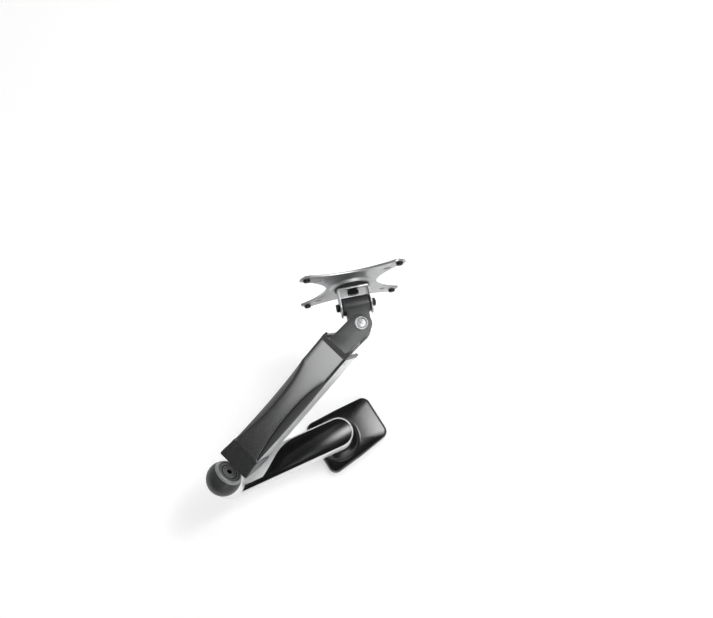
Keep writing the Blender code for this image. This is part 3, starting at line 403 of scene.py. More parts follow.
def moved(made, shift):
    """A shape moved by a vector."""
    bmesh.ops.translate(made, vec=shift, verts=made.verts)
    return made


def aim(made, direction, place=(0, 0, 0)):
    """Turn a shape built along Z to lie along a direction, then move it."""
    turn = Vector((0, 0, 1)).rotation_difference(Vector(direction)).to_matrix().to_4x4()
    bmesh.ops.transform(made, matrix=Matrix.Translation(place) @ turn, verts=made.verts)
    return made


def along_x(made, place=(0, 0, 0)):
    """Lay a shape built along Z along X."""
    return aim(made, (1, 0, 0), place)


def along_y(made, place=(0, 0, 0)):
    """Lay a shape built along Z along Y."""
    return aim(made, (0, 1, 0), place)


def cross_hole(radius, half, x=0.0, z=0.0, rim=0.0003):
    """A cutter for a hole that runs across a piece from side to side."""
    return along_y(flare_hole(radius, -half, half, rim), (x, 0, z))


def across(outline):
    """An outline seen from the side, pushed out to well beyond both sides of the arm."""
    return slab(outline, -0.03, 0.03, "Y")


def along_back(made, place=(0, 0, 0)):
    """Lay a shape built along Z along -X."""
    return aim(made, (-1, 0, 0), place)


def hexagon(across_flats, low, high):
    """A six-sided bar along Z."""
    return slab(arc((0, 0), across_flats / sqrt(3), 0, 300, 5), low, high)


def crown_top(made, level, half, fall, spacing=0.0014):
    """Slice the top lengthwise, then let it fall away from the middle line to both sides."""
    count = int(half / spacing)
    for k in range(-count, count + 1):
        geom = made.verts[:] + made.edges[:] + made.faces[:]
        bmesh.ops.bisect_plane(made, geom=geom, dist=1e-6, plane_co=(0, k * half / (count + 0.5), 0),
                               plane_no=(0, 1, 0))
    for vert in made.verts:
        if vert.co.z > level:
            vert.co.z -= fall * (vert.co.y / half) ** 2
    return made


# ---- pieces

def placed(name, data, place):
    """A new object in the scene."""
    new = bpy.data.objects.new(name, data)
    bpy.context.scene.collection.objects.link(new)
    new.matrix_world = place
    return new


def drop(item):
    """Remove an object and its mesh."""
    mesh = item.data
    bpy.data.objects.remove(item)
    bpy.data.meshes.remove(mesh)


def object_of(name, made, place):
    """Wrap a bmesh in an object with its faces outward."""
    bmesh.ops.recalc_face_normals(made, faces=made.faces)
    mesh = bpy.data.meshes.new(name)
    made.to_mesh(mesh)
    made.free()
    return placed(name, mesh, place)


def combine(piece, joins=(), common=(), cuts=()):
    """Join shapes to a piece, keep only its common part with others, and cut others out of it."""
    for tools, operation in ((joins, "UNION"), (common, "INTERSECT"), (cuts, "DIFFERENCE")):
        for made in tools:
            tool = object_of("tool", made, piece.matrix_world.copy())
            step = piece.modifiers.new("shape", "BOOLEAN")
            step.operation = operation
            step.solver = "EXACT"
            step.object = tool
            bpy.context.view_layer.update()
            graph = bpy.context.evaluated_depsgraph_get()
            result = bpy.data.meshes.new_from_object(piece.evaluated_get(graph))
            piece.modifiers.remove(step)
            old, piece.data = piece.data, result
            bpy.data.meshes.remove(old)
            drop(tool)


def shaped(made, **tools):
    """A shape after a round of joins, common parts and cuts of its own."""
    item = object_of("blank", made, Matrix())
    combine(item, **tools)
    result = bmesh.new()
    result.from_mesh(item.data)
    drop(item)
    return result


def dress(item, node):
    """Give an object the finish of its node's slot."""
    item.data.materials.clear()
    item.data.materials.append(LOOKS[SLOTS[node]])


def ease(item, width, angle):
    """Round an object's edges where its faces meet at more than an angle."""
    bevel = item.modifiers.new("edges", "BEVEL")
    bevel.width = width
    bevel.segments = 2
    bevel.limit_method = "ANGLE"
    bevel.angle_limit = radians(angle)
    bevel.harden_normals = True
    return bevel


def make(node, body, made, place, sharp=32.0, edge=0.0, **tools):
    """A fine piece that stands for a CAD node and rides on its body."""
    piece = object_of(node + "_fine", made, place)
    combine(piece, **tools)
    piece.data.shade_smooth()
    piece.data.set_sharp_from_angle(angle=radians(sharp))
    if edge:
        ease(piece, edge, sharp)
    dress(piece, node)
    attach(piece, body)
    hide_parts(node)


# ---- finishes

def shader_node(tree, kind, inputs, **settings):
    """Add a shader node with its settings, and its inputs as constants or as other nodes' outputs."""
    new = tree.nodes.new("ShaderNode" + kind)
    for key, value in settings.items():
        setattr(new, key, value)
    for key, value in inputs.items():
        if isinstance(value, bpy.types.NodeSocket):
            tree.links.new(value, new.inputs[key])
        else:
            new.inputs[key].default_value = value
    return new


def graded(tree, field, near, far, dark, light, interpolation="LINEAR"):
    """A field turned into colours between two, from near to far."""
    ramp = shader_node(tree, "ValToRGB", {"Fac": field})
    ramp.color_ramp.interpolation = interpolation
    for element, position, colour in zip(ramp.color_ramp.elements, (near, far), (dark, light)):
        element.position = position
        element.color = (*colour, 1.0)
    return ramp.outputs["Color"]


class Finish:
    """Builds one procedural material out of layers of noise in the piece's own coordinates."""

    def __init__(self, name, colour, roughness, metallic):
        self.material = bpy.data.materials.new(name + "_finish")
        self.material.use_nodes = True
        self.material.diffuse_color = (*colour, 1.0)
        self.tree = self.material.node_tree
        self.inputs = self.tree.nodes["Principled BSDF"].inputs
        self.inputs["Base Color"].default_value = (*colour, 1.0)
        self.inputs["Roughness"].default_value = roughness
        self.inputs["Metallic"].default_value = metallic
        self.place = shader_node(self.tree, "TexCoord", {}).outputs["Object"]
        self.normal = None

    def noise(self, scale, stretch=(1, 1, 1), detail=3.0, rough=0.55):
        """A noise field; stretch multiplies the coordinates, so small numbers draw it out."""
        mapping = shader_node(self.tree, "Mapping", {"Vector": self.place, "Scale": stretch})
        field = shader_node(self.tree, "TexNoise", {"Vector": mapping.outputs["Vector"], "Scale": scale,
                                                    "Detail": detail, "Roughness": rough})
        return field.outputs["Fac"]

    def spread(self, field, low, high, near=0.3, far=0.7):
        """The field mapped from its middle range onto low to high."""
        return shader_node(self.tree, "MapRange", {"Value": field, "From Min": near, "From Max": far,
                                                   "To Min": low, "To Max": high}).outputs["Result"]

    def colours(self, field, dark, light, near=0.3, far=0.7):
        """Base colour graded between two colours by a field."""
        self.tree.links.new(graded(self.tree, field, near, far, dark, light), self.inputs["Base Color"])

    def recess(self, reach, shallow, deep, field):
        """A mask for painted shade in recesses: a field that falls to 0 between two depths along the piece's Z
        axis, within a radius of it.
        """
        flat = shader_node(self.tree, "VectorMath", {0: self.place, 1: (1, 1, 0)}, operation="MULTIPLY")
        radius = shader_node(self.tree, "VectorMath", {0: flat.outputs["Vector"]}, operation="LENGTH")
        split = shader_node(self.tree, "SeparateXYZ", {"Vector": self.place})
        outside = self.spread(radius.outputs["Value"], 0, 1, reach - 0.0002, reach)
        high = self.spread(split.outputs["Z"], 0, 1, deep, shallow)
        kept = shader_node(self.tree, "Math", {0: outside, 1: high}, operation="MAXIMUM")
        return shader_node(self.tree, "Math", {0: kept.outputs["Value"], 1: self.spread(field, 0.75, 1.0)},
                           operation="MULTIPLY").outputs["Value"]

    def roughness(self, field, low, high):
        """Roughness graded between two values by a field."""
        self.tree.links.new(self.spread(field, low, high), self.inputs["Roughness"])

    def bump(self, field, height, strength):
        """One more layer of relief, with its height in metres."""
        inputs = {"Strength": strength, "Distance": height, "Height": field}
        if self.normal:
            inputs["Normal"] = self.normal
        self.normal = shader_node(self.tree, "Bump", inputs).outputs["Normal"]
        self.tree.links.new(self.normal, self.inputs["Normal"])


def grey(value, tint=0.0):
    """A neutral grey, a little cooler with a tint above 0."""
    return (value * (1 - tint), value, value * (1 + tint))


def gloss_black():
    """Moulded gloss black: deep colour, faint moulding waves and a slightly uneven shine."""
    finish = Finish("gloss_black", grey(0.006), 0.16, 0.0)
    finish.colours(finish.noise(60), grey(0.0045), grey(0.0085, 0.03))
    finish.roughness(finish.noise(900, detail=4), 0.13, 0.2)
    finish.bump(finish.noise(140, detail=1), 0.00004, 0.35)
    finish.bump(finish.noise(5200, detail=2), 0.000006, 0.3)
    finish.inputs["Specular IOR Level"].default_value = 0.36
    finish.inputs["Coat Weight"].default_value = 0.06
    finish.inputs["Coat Roughness"].default_value = 0.06
    return finish.material


def black_plastic():
    """Black moulded plastic with a fine spark-eroded grain."""
    finish = Finish("black_plastic", grey(0.02), 0.5, 0.0)
    finish.colours(finish.noise(220), grey(0.015), grey(0.026, 0.02))
    finish.roughness(finish.noise(2600), 0.42, 0.6)
    finish.bump(finish.noise(6500, detail=2), 0.00003, 0.55)
    return finish.material


def graphite():
    """Dark grey moulded cap: satin, with a fine grain and a soft mottle."""
    finish = Finish("graphite", grey(0.05), 0.42, 0.25)
    finish.colours(finish.noise(180), grey(0.03, 0.01), grey(0.045, 0.02))
    finish.roughness(finish.noise(1500), 0.34, 0.46)
    finish.bump(finish.noise(7000, detail=2), 0.00002, 0.45)
    return finish.material


def polished():
    """Bright satin-polished aluminium with faint lines along the link."""
    finish = Finish("polished", grey(0.8), 0.32, 0.62)
    lines = finish.noise(2400, (0.02, 1, 1), detail=4)
    finish.colours(finish.noise(70), grey(0.76, 0.003), grey(0.82, 0.005))
    finish.roughness(lines, 0.29, 0.37)
    finish.bump(lines, 0.000003, 0.3)
    return finish.material


def satin():
    """Satin aluminium panel: brushed along its length under a thin clear coat."""
    finish = Finish("satin", grey(0.5), 0.24, 1.0)
    brush = finish.noise(3800, (0.01, 1, 1), detail=4, rough=0.6)
    finish.colours(brush, grey(0.46, 0.006), grey(0.53, 0.008), 0.25, 0.75)
    finish.roughness(brush, 0.17, 0.22)
    finish.bump(brush, 0.000004, 0.3)
    return finish.material


def zinc():
    """Satin zinc casting: light grey with a soft sheen, and painted shade, almost black, low in its recesses."""
    finish = Finish("zinc", grey(0.3), 0.36, 0.35)
    # painted shade: below the disc's face and inside its rim the colour falls to near black, where shade falls in
    # the grooves and socket
    painted_recess_shade = finish.recess(DISC_RADIUS - 0.0006, -0.0004, -0.0013, finish.noise(900))
    finish.colours(painted_recess_shade, grey(0.006), grey(0.32, 0.015), 0, 1)
    finish.roughness(finish.noise(2400), 0.3, 0.42)
    finish.bump(finish.noise(5000, detail=2), 0.00001, 0.35)
    return finish.material


def grey_cast():
    """Grey metallic powder coat on castings: fine orange peel and tiny flakes."""
    finish = Finish("grey_cast", grey(0.075), 0.42, 0.45)
    flakes = finish.noise(9000, detail=1)
    finish.colours(flakes, grey(0.055, 0.01), grey(0.1, 0.015), 0.25, 0.78)
    finish.roughness(finish.noise(1100), 0.34, 0.5)
    finish.bump(finish.noise(1600, detail=2), 0.00004, 0.35)
    finish.bump(flakes, 0.000008, 0.3)
    return finish.material


def steel():
    """Bright plated steel with a faint rolled grain and cloudy plating."""
    finish = Finish("steel", grey(0.44), 0.36, 1.0)
    finish.colours(finish.noise(90, detail=3), grey(0.41, 0.01), grey(0.48, 0.012))
    grain = finish.noise(2600, (1, 1, 0.02), detail=3)
    finish.roughness(grain, 0.33, 0.41)
    finish.bump(grain, 0.000003, 0.3)
    return finish.material


def black_steel():
    """Black oxide on steel: dark, half-matt, with a slightly uneven film."""
    finish = Finish("black_steel", grey(0.022), 0.36, 0.75)
    finish.colours(finish.noise(500, detail=4), grey(0.016), grey(0.034, 0.03))
    finish.roughness(finish.noise(1800), 0.28, 0.46)
    finish.bump(finish.noise(4200, detail=2), 0.00002, 0.35)
    return finish.material


def bush():
    """Pale bearing plastic, slightly mottled."""
    finish = Finish("bush", (0.62, 0.6, 0.55), 0.52, 0.0)
    finish.colours(finish.noise(300), (0.56, 0.54, 0.49), (0.66, 0.64, 0.6))
    finish.roughness(finish.noise(1500), 0.45, 0.6)
    finish.bump(finish.noise(3500), 0.00002, 0.3)
    return finish.material


LOOKS = {"black_gloss": gloss_black(), "black_matte": black_plastic(), "graphite": graphite(),
         "polished": polished(), "satin": satin(), "grey_cast": grey_cast(), "steel": steel(),
         "black_steel": black_steel(), "bush": bush(), "zinc": zinc()}


# ---- base

def base_outline(depth):
    """The base's tapered outline with slightly bowed long sides, set in by a distance."""
    x0 = BASE_NARROW_END + depth
    x1 = BASE_WIDE_END - depth
    narrow = BASE_NARROW_HALF - depth
    wide = BASE_WIDE_HALF - depth
    middle = (x0 + x1) / 2
    bow = (narrow + wide) / 2 + BASE_BOW
    corners = [(x1, -wide), (x1, wide), (middle, bow), (x0, narrow), (x0, -narrow), (middle, -bow)]
    corner = max(BASE_CORNER - depth, 0.002)
    return rounded(corners, [corner, corner, 0.09, corner, corner, 0.09], 12)


def cover_outline(depth):
    """The base outline with extra points on its long runs, so that circles can share its bearings."""
    full = base_outline(0)
    near = base_outline(depth)
    points = []
    for i, (x, y) in enumerate(near):
        points.append((x, y))
        ahead = (i + 1) % len(full)
        extra = int(Vector(full[i]).angle(Vector(full[ahead])) / radians(2.5))
        x1, y1 = near[ahead]
        for k in range(1, extra + 1):
            part = k / (extra + 1)
            points.append((x + (x1 - x) * part, y + (y1 - y) * part))
    return points


def cover_ring(rim, part, wall):
    """One ring of the cover's skin: rim (0 to 1) across its rim, then part (0 to 1) on to the boss."""
    neck = BOSS_NECK - wall
    ring = []
    for x, y in cover_outline(wall):
        edge = hypot(x, y)
        radius = edge - RIM_WIDTH * rim
        radius += (neck - radius) * part
        rise = sqrt(1 - (1 - min((edge - radius) / RIM_WIDTH, 1)) ** 2)
        top = COVER_TOP - CROWN_FALL * ((radius - neck) / (edge - neck)) ** 2
        flare = max(1 - (radius - neck) / BOSS_FLARE, 0)
        height = EDGE_HEIGHT + (top + BOSS_RISE * flare * flare - EDGE_HEIGHT) * rise - wall
        ring.append((x * radius / edge, y * radius / edge, height))
    return ring


def round_ring(radius, height):
    """A circle with as many points, at the same bearings, as the cover's outline."""
    ring = []
    for x, y in cover_outline(0):
        bearing = atan2(y, x)
        ring.append((radius * cos(bearing), radius * sin(bearing), height))
    return ring


def base():
    """The cover's glossy shell and the column's washer."""
    skirt = []
    for k in range(6):
        rise = k / 6
        level = HEM + (EDGE_HEIGHT - HEM) * rise
        skirt.append([(x, y, level) for x, y in cover_outline(0.0009 * (1 - rise) ** 2)])
    outside = [cover_ring(1 - cos(pi / 2 * k / 10), 0, 0) for k in range(10)]
    outside += [cover_ring(1, k / 32, 0) for k in range(33)]
    neck_height = COVER_TOP + BOSS_RISE
    stem = bezier((BOSS_NECK, neck_height), (0.0196, neck_height + 0.0045), (0.0186, 0.041),
                  (0.0183, BOSS_TOP - 0.001), 14)[1:]
    lip = arc((0.0173, BOSS_TOP - 0.001), 0.001, 0, 90, 5)[1:]
    mouth = [(COLUMN_RADIUS + 0.0009, BOSS_TOP), (COLUMN_RADIUS + 0.0006, BOSS_TOP - 0.0003),
             (COLUMN_RADIUS + 0.0006, BOSS_TOP - 0.003), (0.016, BOSS_TOP - 0.003)]
    boss = [round_ring(radius, height) for radius, height in stem + lip + mouth]
    inside = [cover_ring(1, 1 - k / 12, COVER_WALL) for k in range(13)]
    inside += [cover_ring(1 - k / 4, 0, COVER_WALL) for k in range(1, 5)]
    hem = [[(x, y, HEM) for x, y in cover_outline(COVER_WALL)]]
    make("base_cover", "base", loft(skirt + outside + boss + inside + hem, closed=True), AT_BASE, sharp=50)
    washer = tube(JOURNAL_RADIUS + GAP, 0.017, BOSS_TOP + 0.0003, LOWER_BOTTOM - 0.0001)
    make("base_thrust_washer", "base", washer, AT_BASE)


# ---- lower link

def inlay_outline(grow=0.0):
    """Black top inlay: round at the base end, a swept front edge and a tail along one side."""
    half = LOWER_RADIUS - INLAY_RIM + grow
    tail_end = LOWER_LENGTH - 0.006 + grow
    tail_inner = 0.0112 - grow
    start = arc((0, 0), half, 90, 270, 64)
    sweep = bezier((0.052 + grow, -half), (0.078 + grow, -0.015), (0.084 + grow, -0.002),
                   (0.106 + grow, tail_inner), 40)
    tip = arc((tail_end, (half + tail_inner) / 2), (half - tail_inner) / 2, -90, 90, 10)
    return start + sweep + tip


def lower_link():
    """Cast link with a crowned top, and the glossy inlay let into it."""
    outline = stadium(0, LOWER_LENGTH, LOWER_RADIUS, 64)
    body = slab(outline, LOWER_BOTTOM, LOWER_TOP, "Z", 0.0015, 0.0012, 5)
    crown_top(body, LOWER_TOP - 0.004, LOWER_RADIUS, CROWN)
    floor = LOWER_TOP - INLAY_THICK
    channel = rounded(box(0.017, -0.015, LOWER_LENGTH - 0.017, 0.015), 0.003, 8)
    hub = lathe([(0, 0.047), (0.0103, 0.047), (0.0103, LOWER_BOTTOM), (0.01, LOWER_BOTTOM + 0.0003),
                 (0.01, 0.077), (0.0106, 0.077), (0.0106, 0.1), (0, 0.1)])
    seat = lathe([(0, 0.047), (0.0115, 0.047), (0.0115, LOWER_BOTTOM), (0.0112, LOWER_BOTTOM + 0.0003),
                  (0.0112, 0.056), (JOURNAL_RADIUS + GAP, 0.056), (JOURNAL_RADIUS + GAP, 0.1), (0, 0.1)])
    cuts = [slab(inlay_outline(GAP), floor - GAP - CROWN, 0.1),
            slab(channel, 0.047, LOWER_TOP - 0.006, "Z", 0.0015),
            hub, moved(seat, (LOWER_LENGTH, 0, 0))]
    make("lower_arm_body", "lower_link", body, AT_LOWER, cuts=cuts)
    inlay = slab(inlay_outline(), floor, LOWER_TOP, "Z", 0.0004)
    crown_top(inlay, LOWER_TOP - 0.001, LOWER_RADIUS, CROWN)
    make("lower_arm_inlay", "lower_link", inlay, AT_LOWER)
    washer = tube(JOURNAL_RADIUS + GAP, 0.018, LOWER_TOP + 0.0003, HOUSING_BOTTOM - 0.0003)
    make("elbow_thrust_washer", "lower_link", washer, AT_SHAFT)


# ---- elbow

def beyond_disc(distance):
    """A block beyond the adjuster disc's plane, at a distance from the dome's centre."""
    tilt = radians(DISC_TILT)
    block = slab(box(-0.05, -0.05, 0.05, 0.05), distance, distance + 0.05)
    return aim(block, (cos(tilt), 0, sin(tilt)), (0, 0, DOME_CENTRE))


def elbow():
    """Round housing with its bracket, the domed cap, the slanted adjuster ring and its screw."""
    top = DOME_CENTRE - 0.0004
    profile = [(0, HOUSING_BOTTOM), (HOUSING_RADIUS, HOUSING_BOTTOM), (HOUSING_RADIUS, top), (0, top)]
    barrel = lathe(rounded(profile, [0, 0.0012, 0.0005, 0], 5), 128)
    low_z = PIVOT_HEIGHT - PIVOT_SPACING
    ear = 0.0085
    side = [(0.014, low_z - ear)] + arc((PIVOT_REACH, low_z), ear, -90, 0, 14)
    side += arc((PIVOT_REACH, PIVOT_HEIGHT), ear, 0, 180, 28)
    side += [(PIVOT_REACH - ear, PIVOT_HEIGHT - 0.014), (0.0245, 0.144), (0.014, 0.144)]
    barrel = shaped(barrel, cuts=[beyond_disc(DISC_SEAT)])
    cuts = [slab(box(0.0262, 0.12, 0.06, 0.19), -0.0075, 0.0075, "Y")]
    for height, radius in ((PIVOT_HEIGHT, PIN_RADIUS), (low_z, PIN_RADIUS),
                           (PIVOT_HEIGHT - SPRING_PIN_DROP, SPRING_PIN_RADIUS)):
        cuts.append(cross_hole(radius + GAP, HEAD_HALF, PIVOT_REACH, height))
    cuts.append(lathe([(0, 0.09), (0.0103, 0.09), (0.0103, HOUSING_BOTTOM), (0.01, HOUSING_BOTTOM + 0.0003),
                       (0.01, 0.133), (0.0145, 0.133), (0.0145, 0.16), (0, 0.16)]))
    ears = slab(side, -HEAD_HALF, HEAD_HALF, "Y", 0.0007)
    make("elbow_housing", "elbow", barrel, AT_ELBOW, joins=[ears], cuts=cuts)

    outer, inner = HOUSING_RADIUS, HOUSING_RADIUS - 0.0024
    skin = arc((0, DOME_CENTRE), outer, 90, 1.5, 40) + [(outer - 0.0004, DOME_CENTRE)]
    skin += arc((0, DOME_CENTRE), inner, 0, 90, 16)
    make("elbow_cap", "elbow", lathe(skin, 128), AT_ELBOW, cuts=[beyond_disc(DISC_SEAT)], edge=0.00025)

    profile = [(0.0062, -0.003)]
    for k in range(7):
        depth = 0.003 - 0.0026 * k / 6
        profile.append((sqrt(HOUSING_RADIUS ** 2 - (DISC_DISTANCE - depth) ** 2), -depth))
    profile += [(DISC_RADIUS, -0.0001), (DISC_RADIUS - 0.0002, 0), (0.0139, 0), (0.0136, -0.0003),
                (0.0134, -0.0012), (0.013, -0.0014), (0.0126, -0.0008), (0.0104, -0.0006), (0.0101, -0.0009),
                (0.0099, -0.0016), (0.0091, -0.0016), (0.0089, -0.0009), (0.0086, -0.0005), (0.0071, -0.0003),
                (0.0067, -0.0004), (0.0064, -0.0012), (0.0062, -0.0014)]
    dots = []
    for angle in (35, 215):
        place = (0.0115 * cos(radians(angle)), 0.0115 * sin(radians(angle)), 0)
        dots.append(moved(rod(0.0008, -0.002, 0.001, 20), place))
    make("adjuster_ring", "elbow", lathe(profile, 96), AT_DISC, cuts=dots)

    head = lathe(rounded([(0, -0.0112), (0.003, -0.0112), (0.003, -0.0042), (0.0059, -0.0042), (0.0059, -0.0002),
                          (0, -0.0002)], [0, 0.0004, 0, 0.0003, 0.0005, 0], 3), 64)
    socket = hexagon(0.006, -0.0032, 0.002)
    lead_in = lathe([(0, -0.0007), (0.003, -0.0007), (0.0042, 0.0005), (0, 0.0005)], 48)
    make("tension_screw", "tension_screw", head, AT_DISC, cuts=[socket, lead_in])


# ---- upper link

def shoulder(along):
    """How far the black shoulders cut into the casing, from 0 to 1, at a place along the link."""
    elbow_side = min(max((along - SHOULDER_START) / (SHOULDER_WIDEST - SHOULDER_START), 0), 1)
    head_side = min(max((SHOULDER_END - along) / (SHOULDER_END - SHOULDER_WIDEST), 0), 1)
    elbow_side = 0.04 + 0.96 * (1 - (1 - elbow_side) ** 2)
    head_side = 0.2 + 0.8 * (1 - (1 - head_side) ** 2.5)
    return min(elbow_side, head_side)


def link_stations(first=(), last=(), count=104):
    """Places along the link where its lofted pieces have a section."""
    stations = [LINK_START + (LINK_END - LINK_START) * i / count for i in range(count + 1)]
    return [*first, *stations, *last]


def front_edge(height):
    """The casing's slanted head end, at a height across the link."""
    return FRONT_REACH + FRONT_SLANT * height


def casing_section(along):
    """Outer section of the casing: sloped top corners and a shallow step along each wall."""
    reach = SHOULDER_IN * shoulder(along) + GAP
    drop = reach * SHOULDER_DROP / SHOULDER_IN
    half, low = CASING_HALF, CASING_HALF - LEDGE_DEEP
    right = [(low, CASING_BOTTOM), (low, LEDGE - 0.0012), (low + 0.0001, LEDGE - 0.0009),
             (half - 0.0001, LEDGE - 0.0002), (half, LEDGE), (half, CASING_TOP - drop - 0.0002),
             (half - 0.0002, CASING_TOP - drop), (half - reach, CASING_TOP)]
    return [(along, y, z) for y, z in right + mirrored(right)]


def hollow_section(along):
    """Inner section of the casing."""
    half, top = CASING_HALF - CASING_WALL, CASING_TOP - CASING_WALL
    reach = SHOULDER_IN * shoulder(along) + 0.0004
    drop = reach * SHOULDER_DROP / SHOULDER_IN
    right = [(half, CASING_BOTTOM - 0.01), (half, top - drop), (half - reach, top)]
    return [(along, y, z) for y, z in right + mirrored(right)]


def casing():
    """Aluminium channel of the upper link."""
    shape = loft([casing_section(x) for x in link_stations((-0.0125, 0.0005), (0.18,))])
    hollow = loft([hollow_section(x) for x in link_stations((-0.0225,), (0.19,), 26)])
    side = [(front_edge(CASING_BOTTOM), CASING_BOTTOM), (front_edge(0.02), 0.02), (-0.006, 0.02)]
    side += arc((0, 0), 0.01, 150, 215, 16) + [(0.01, CASING_BOTTOM)]
    holes = [cross_hole(radius + GAP, CASING_HALF, x, z) for x, z, radius in (
        (0, 0, PIN_RADIUS), (LINK_LENGTH, 0, PIN_RADIUS), (*SPRING_SEAT, SPRING_PIN_RADIUS))]
    make("upper_arm_casing", "upper_link", shape, AT_LIFT, common=[across(side[::-1])], cuts=[hollow] + holes,
         sharp=28)


def top_panel():
    """Waisted panel along the top of the casing, very slightly crowned."""
    low, edge, crown = CASING_TOP + GAP, 0.0006, 0.0003
    rings = []
    for x in link_stations((0.0005,)):
        half = CASING_HALF - SHOULDER_IN * shoulder(x) - GAP
        right = [(half, low), (half, PANEL_TOP - edge - crown)]
        right += arc((half - edge, PANEL_TOP - edge - crown), edge, 0, 90, 4)[1:]
        for k in (0.75, 0.5, 0.25):
            right.append(((half - edge) * k, PANEL_TOP - crown * k * k))
        rings.append([(x, y, z) for y, z in right + [(0, PANEL_TOP)] + mirrored(right)])
    make("top_panel", "upper_link", loft(rings), AT_LIFT, sharp=40)


def shoulder_inlays():
    """Black strips on the two sloping shoulders: convex, with soft edges."""
    for node, side in (("shoulder_inlay_left", 1), ("shoulder_inlay_right", -1)):
        rings = []
        for x in link_stations():
            amount = shoulder(x)
            inner = CASING_HALF - SHOULDER_IN * amount
            low = PANEL_TOP - SHOULDER_DROP * amount
            start = Vector((inner, PANEL_TOP))
            slope = Vector((CASING_HALF - inner, low - PANEL_TOP))
            out = Vector((-slope.y, slope.x)).normalized()
            section = []
            for t in (0, 0.03, 0.1, 0.25, 0.5, 0.75, 0.9, 0.97, 1):
                bulge = 0.0005 * amount * 4 * t * (1 - t) - 0.0003 * amount * max(1 - min(t, 1 - t) / 0.06, 0)
                section.append(start + slope * t + out * bulge)
            section += [(CASING_HALF, low - SHOULDER_THICK), (inner, PANEL_TOP - SHOULDER_THICK)]
            rings.append([(x, side * y, z) for y, z in section])
        make(node, "upper_link", loft(rings), AT_LIFT, sharp=40)


def u_section(along, outer, inner, top, inner_top, bottom, corner):
    """A channel section with rounded outer top corners."""
    right = arc((outer - corner, top - corner), corner, 0, 90, 8)
    points = [(outer, bottom)] + right + mirrored(right) + [(-outer, bottom)]
    points += [(-inner, bottom), (-inner, inner_top), (inner, inner_top), (inner, bottom)]
    return [(along, y, z) for y, z in points]


def elbow_end_cap():
    """Dark cap that wraps the casing's elbow end and flares a little."""
    rings = []
    for k in range(17):
        x = -0.013 + 0.024 * k / 16
        t = 1 - k / 16
        flare = t * t * (3 - 2 * t)
        rings.append(u_section(x, 0.0189 + 0.0018 * flare, CASING_HALF + GAP, 0.0155 + 0.0003 * flare,
                               PANEL_TOP + GAP - 0.0001, -0.026, 0.0022))
    back = [(-0.05, -0.05), (-0.0005, -0.027), (-0.0105, -0.004), (-0.013, 0.01), (-0.013, 0.02), (-0.05, 0.02)]
    front = [(0.004, -0.05), (0.05, -0.05), (0.05, -0.002), (0.011, -0.002), (0.004, -0.026)]
    make("elbow_end_cap", "upper_link", loft(rings), AT_LIFT, cuts=[across(back), across(front)], edge=0.0002)


def head_collar():
    """Grey frame round the casing's head end, following its slanted cut."""
    outer = CASING_HALF + 0.0001
    rings = [u_section(x, outer, outer - 0.0027, PANEL_TOP, CASING_TOP - 0.0026, CASING_BOTTOM + 0.003, 0.0018)
             for x in (0.14, 0.19)]
    low, high = -0.06, 0.03
    near, far = GAP, 0.0048
    back = [(0.1, low), (front_edge(low) + near, low), (front_edge(high) + near, high), (0.1, high)]
    front = [(front_edge(low) + far, low), (0.25, low), (0.25, high), (front_edge(high) + far, high)]
    trimmed = shaped(loft(rings), cuts=[across(back), across(front)])
    lugs = []
    for inside, outside, bottom, top in ((0.0157, 0.0178, 0.0085, 0.0128), (0.0132, 0.0143, 0.011, 0.0136)):
        for left, right in ((inside, outside), (-outside, -inside)):
            lugs.append(slab(box(left, bottom, right, top), 0.174, 0.179, "X", 0.0003, 0.0))
    make("head_collar", "upper_link", trimmed, AT_LIFT, joins=lugs, edge=0.0003)


def pins():
    """The cross pins, with turned ends that have a small centre mark."""
    pin_half = CASING_HALF - 0.0004
    low_z = PIVOT_HEIGHT - SPRING_PIN_DROP
    for node, body, place, half, radius, x, z in (
            ("lift_pin_elbow", "upper_link", AT_LIFT, pin_half, PIN_RADIUS, 0, 0),
            ("lift_pin_head", "upper_link", AT_LIFT, pin_half, PIN_RADIUS, LINK_LENGTH, 0),
            ("spring_pin_casing", "upper_link", AT_LIFT, pin_half, SPRING_PIN_RADIUS, *SPRING_SEAT),
            ("strut_pin_elbow", "strut", AT_STRUT, 0.0144, PIN_RADIUS, 0, 0),
            ("strut_pin_head", "strut", AT_STRUT, 0.0144, PIN_RADIUS, LINK_LENGTH, 0),
            ("spring_pin_elbow", "elbow", AT_ELBOW, 0.0122, SPRING_PIN_RADIUS, PIVOT_REACH, low_z)):
        dimple = radius * 0.28
        profile = [(0, dimple - half), (dimple, -half), (radius - 0.0005, -half), (radius, 0.0005 - half),
                   (radius, half - 0.0005), (radius - 0.0005, half), (dimple, half), (0, half - dimple)]
        make(node, body, along_y(lathe(profile, 48), (x, 0, z)), place, sharp=25)


def strut():
    """Lower channel of the parallelogram."""
    outer, inner = 0.0147, 0.0128
    side = arc((0, 0), STRUT_EYE, 90, 200, 24) + [(-0.007, STRUT_FLOOR)]
    side += [(LINK_LENGTH + 0.006, STRUT_FLOOR)] + arc((LINK_LENGTH, 0), STRUT_EYE, -45, 90, 20)
    hollow = [(-0.03, -0.02), (0.0045, -0.02), (0.0045, -0.0086), (LINK_LENGTH, -0.0086),
              (LINK_LENGTH, -0.02), (LINK_LENGTH + 0.03, -0.02), (LINK_LENGTH + 0.03, 0.02), (-0.03, 0.02)]
    cuts = [slab(hollow, -inner, inner, "Y")] + [cross_hole(PIN_RADIUS + GAP, outer, x) for x in (0, LINK_LENGTH)]
    make("lower_strut", "strut", slab(side, -outer, outer, "Y", 0.0008), AT_STRUT, cuts=cuts)


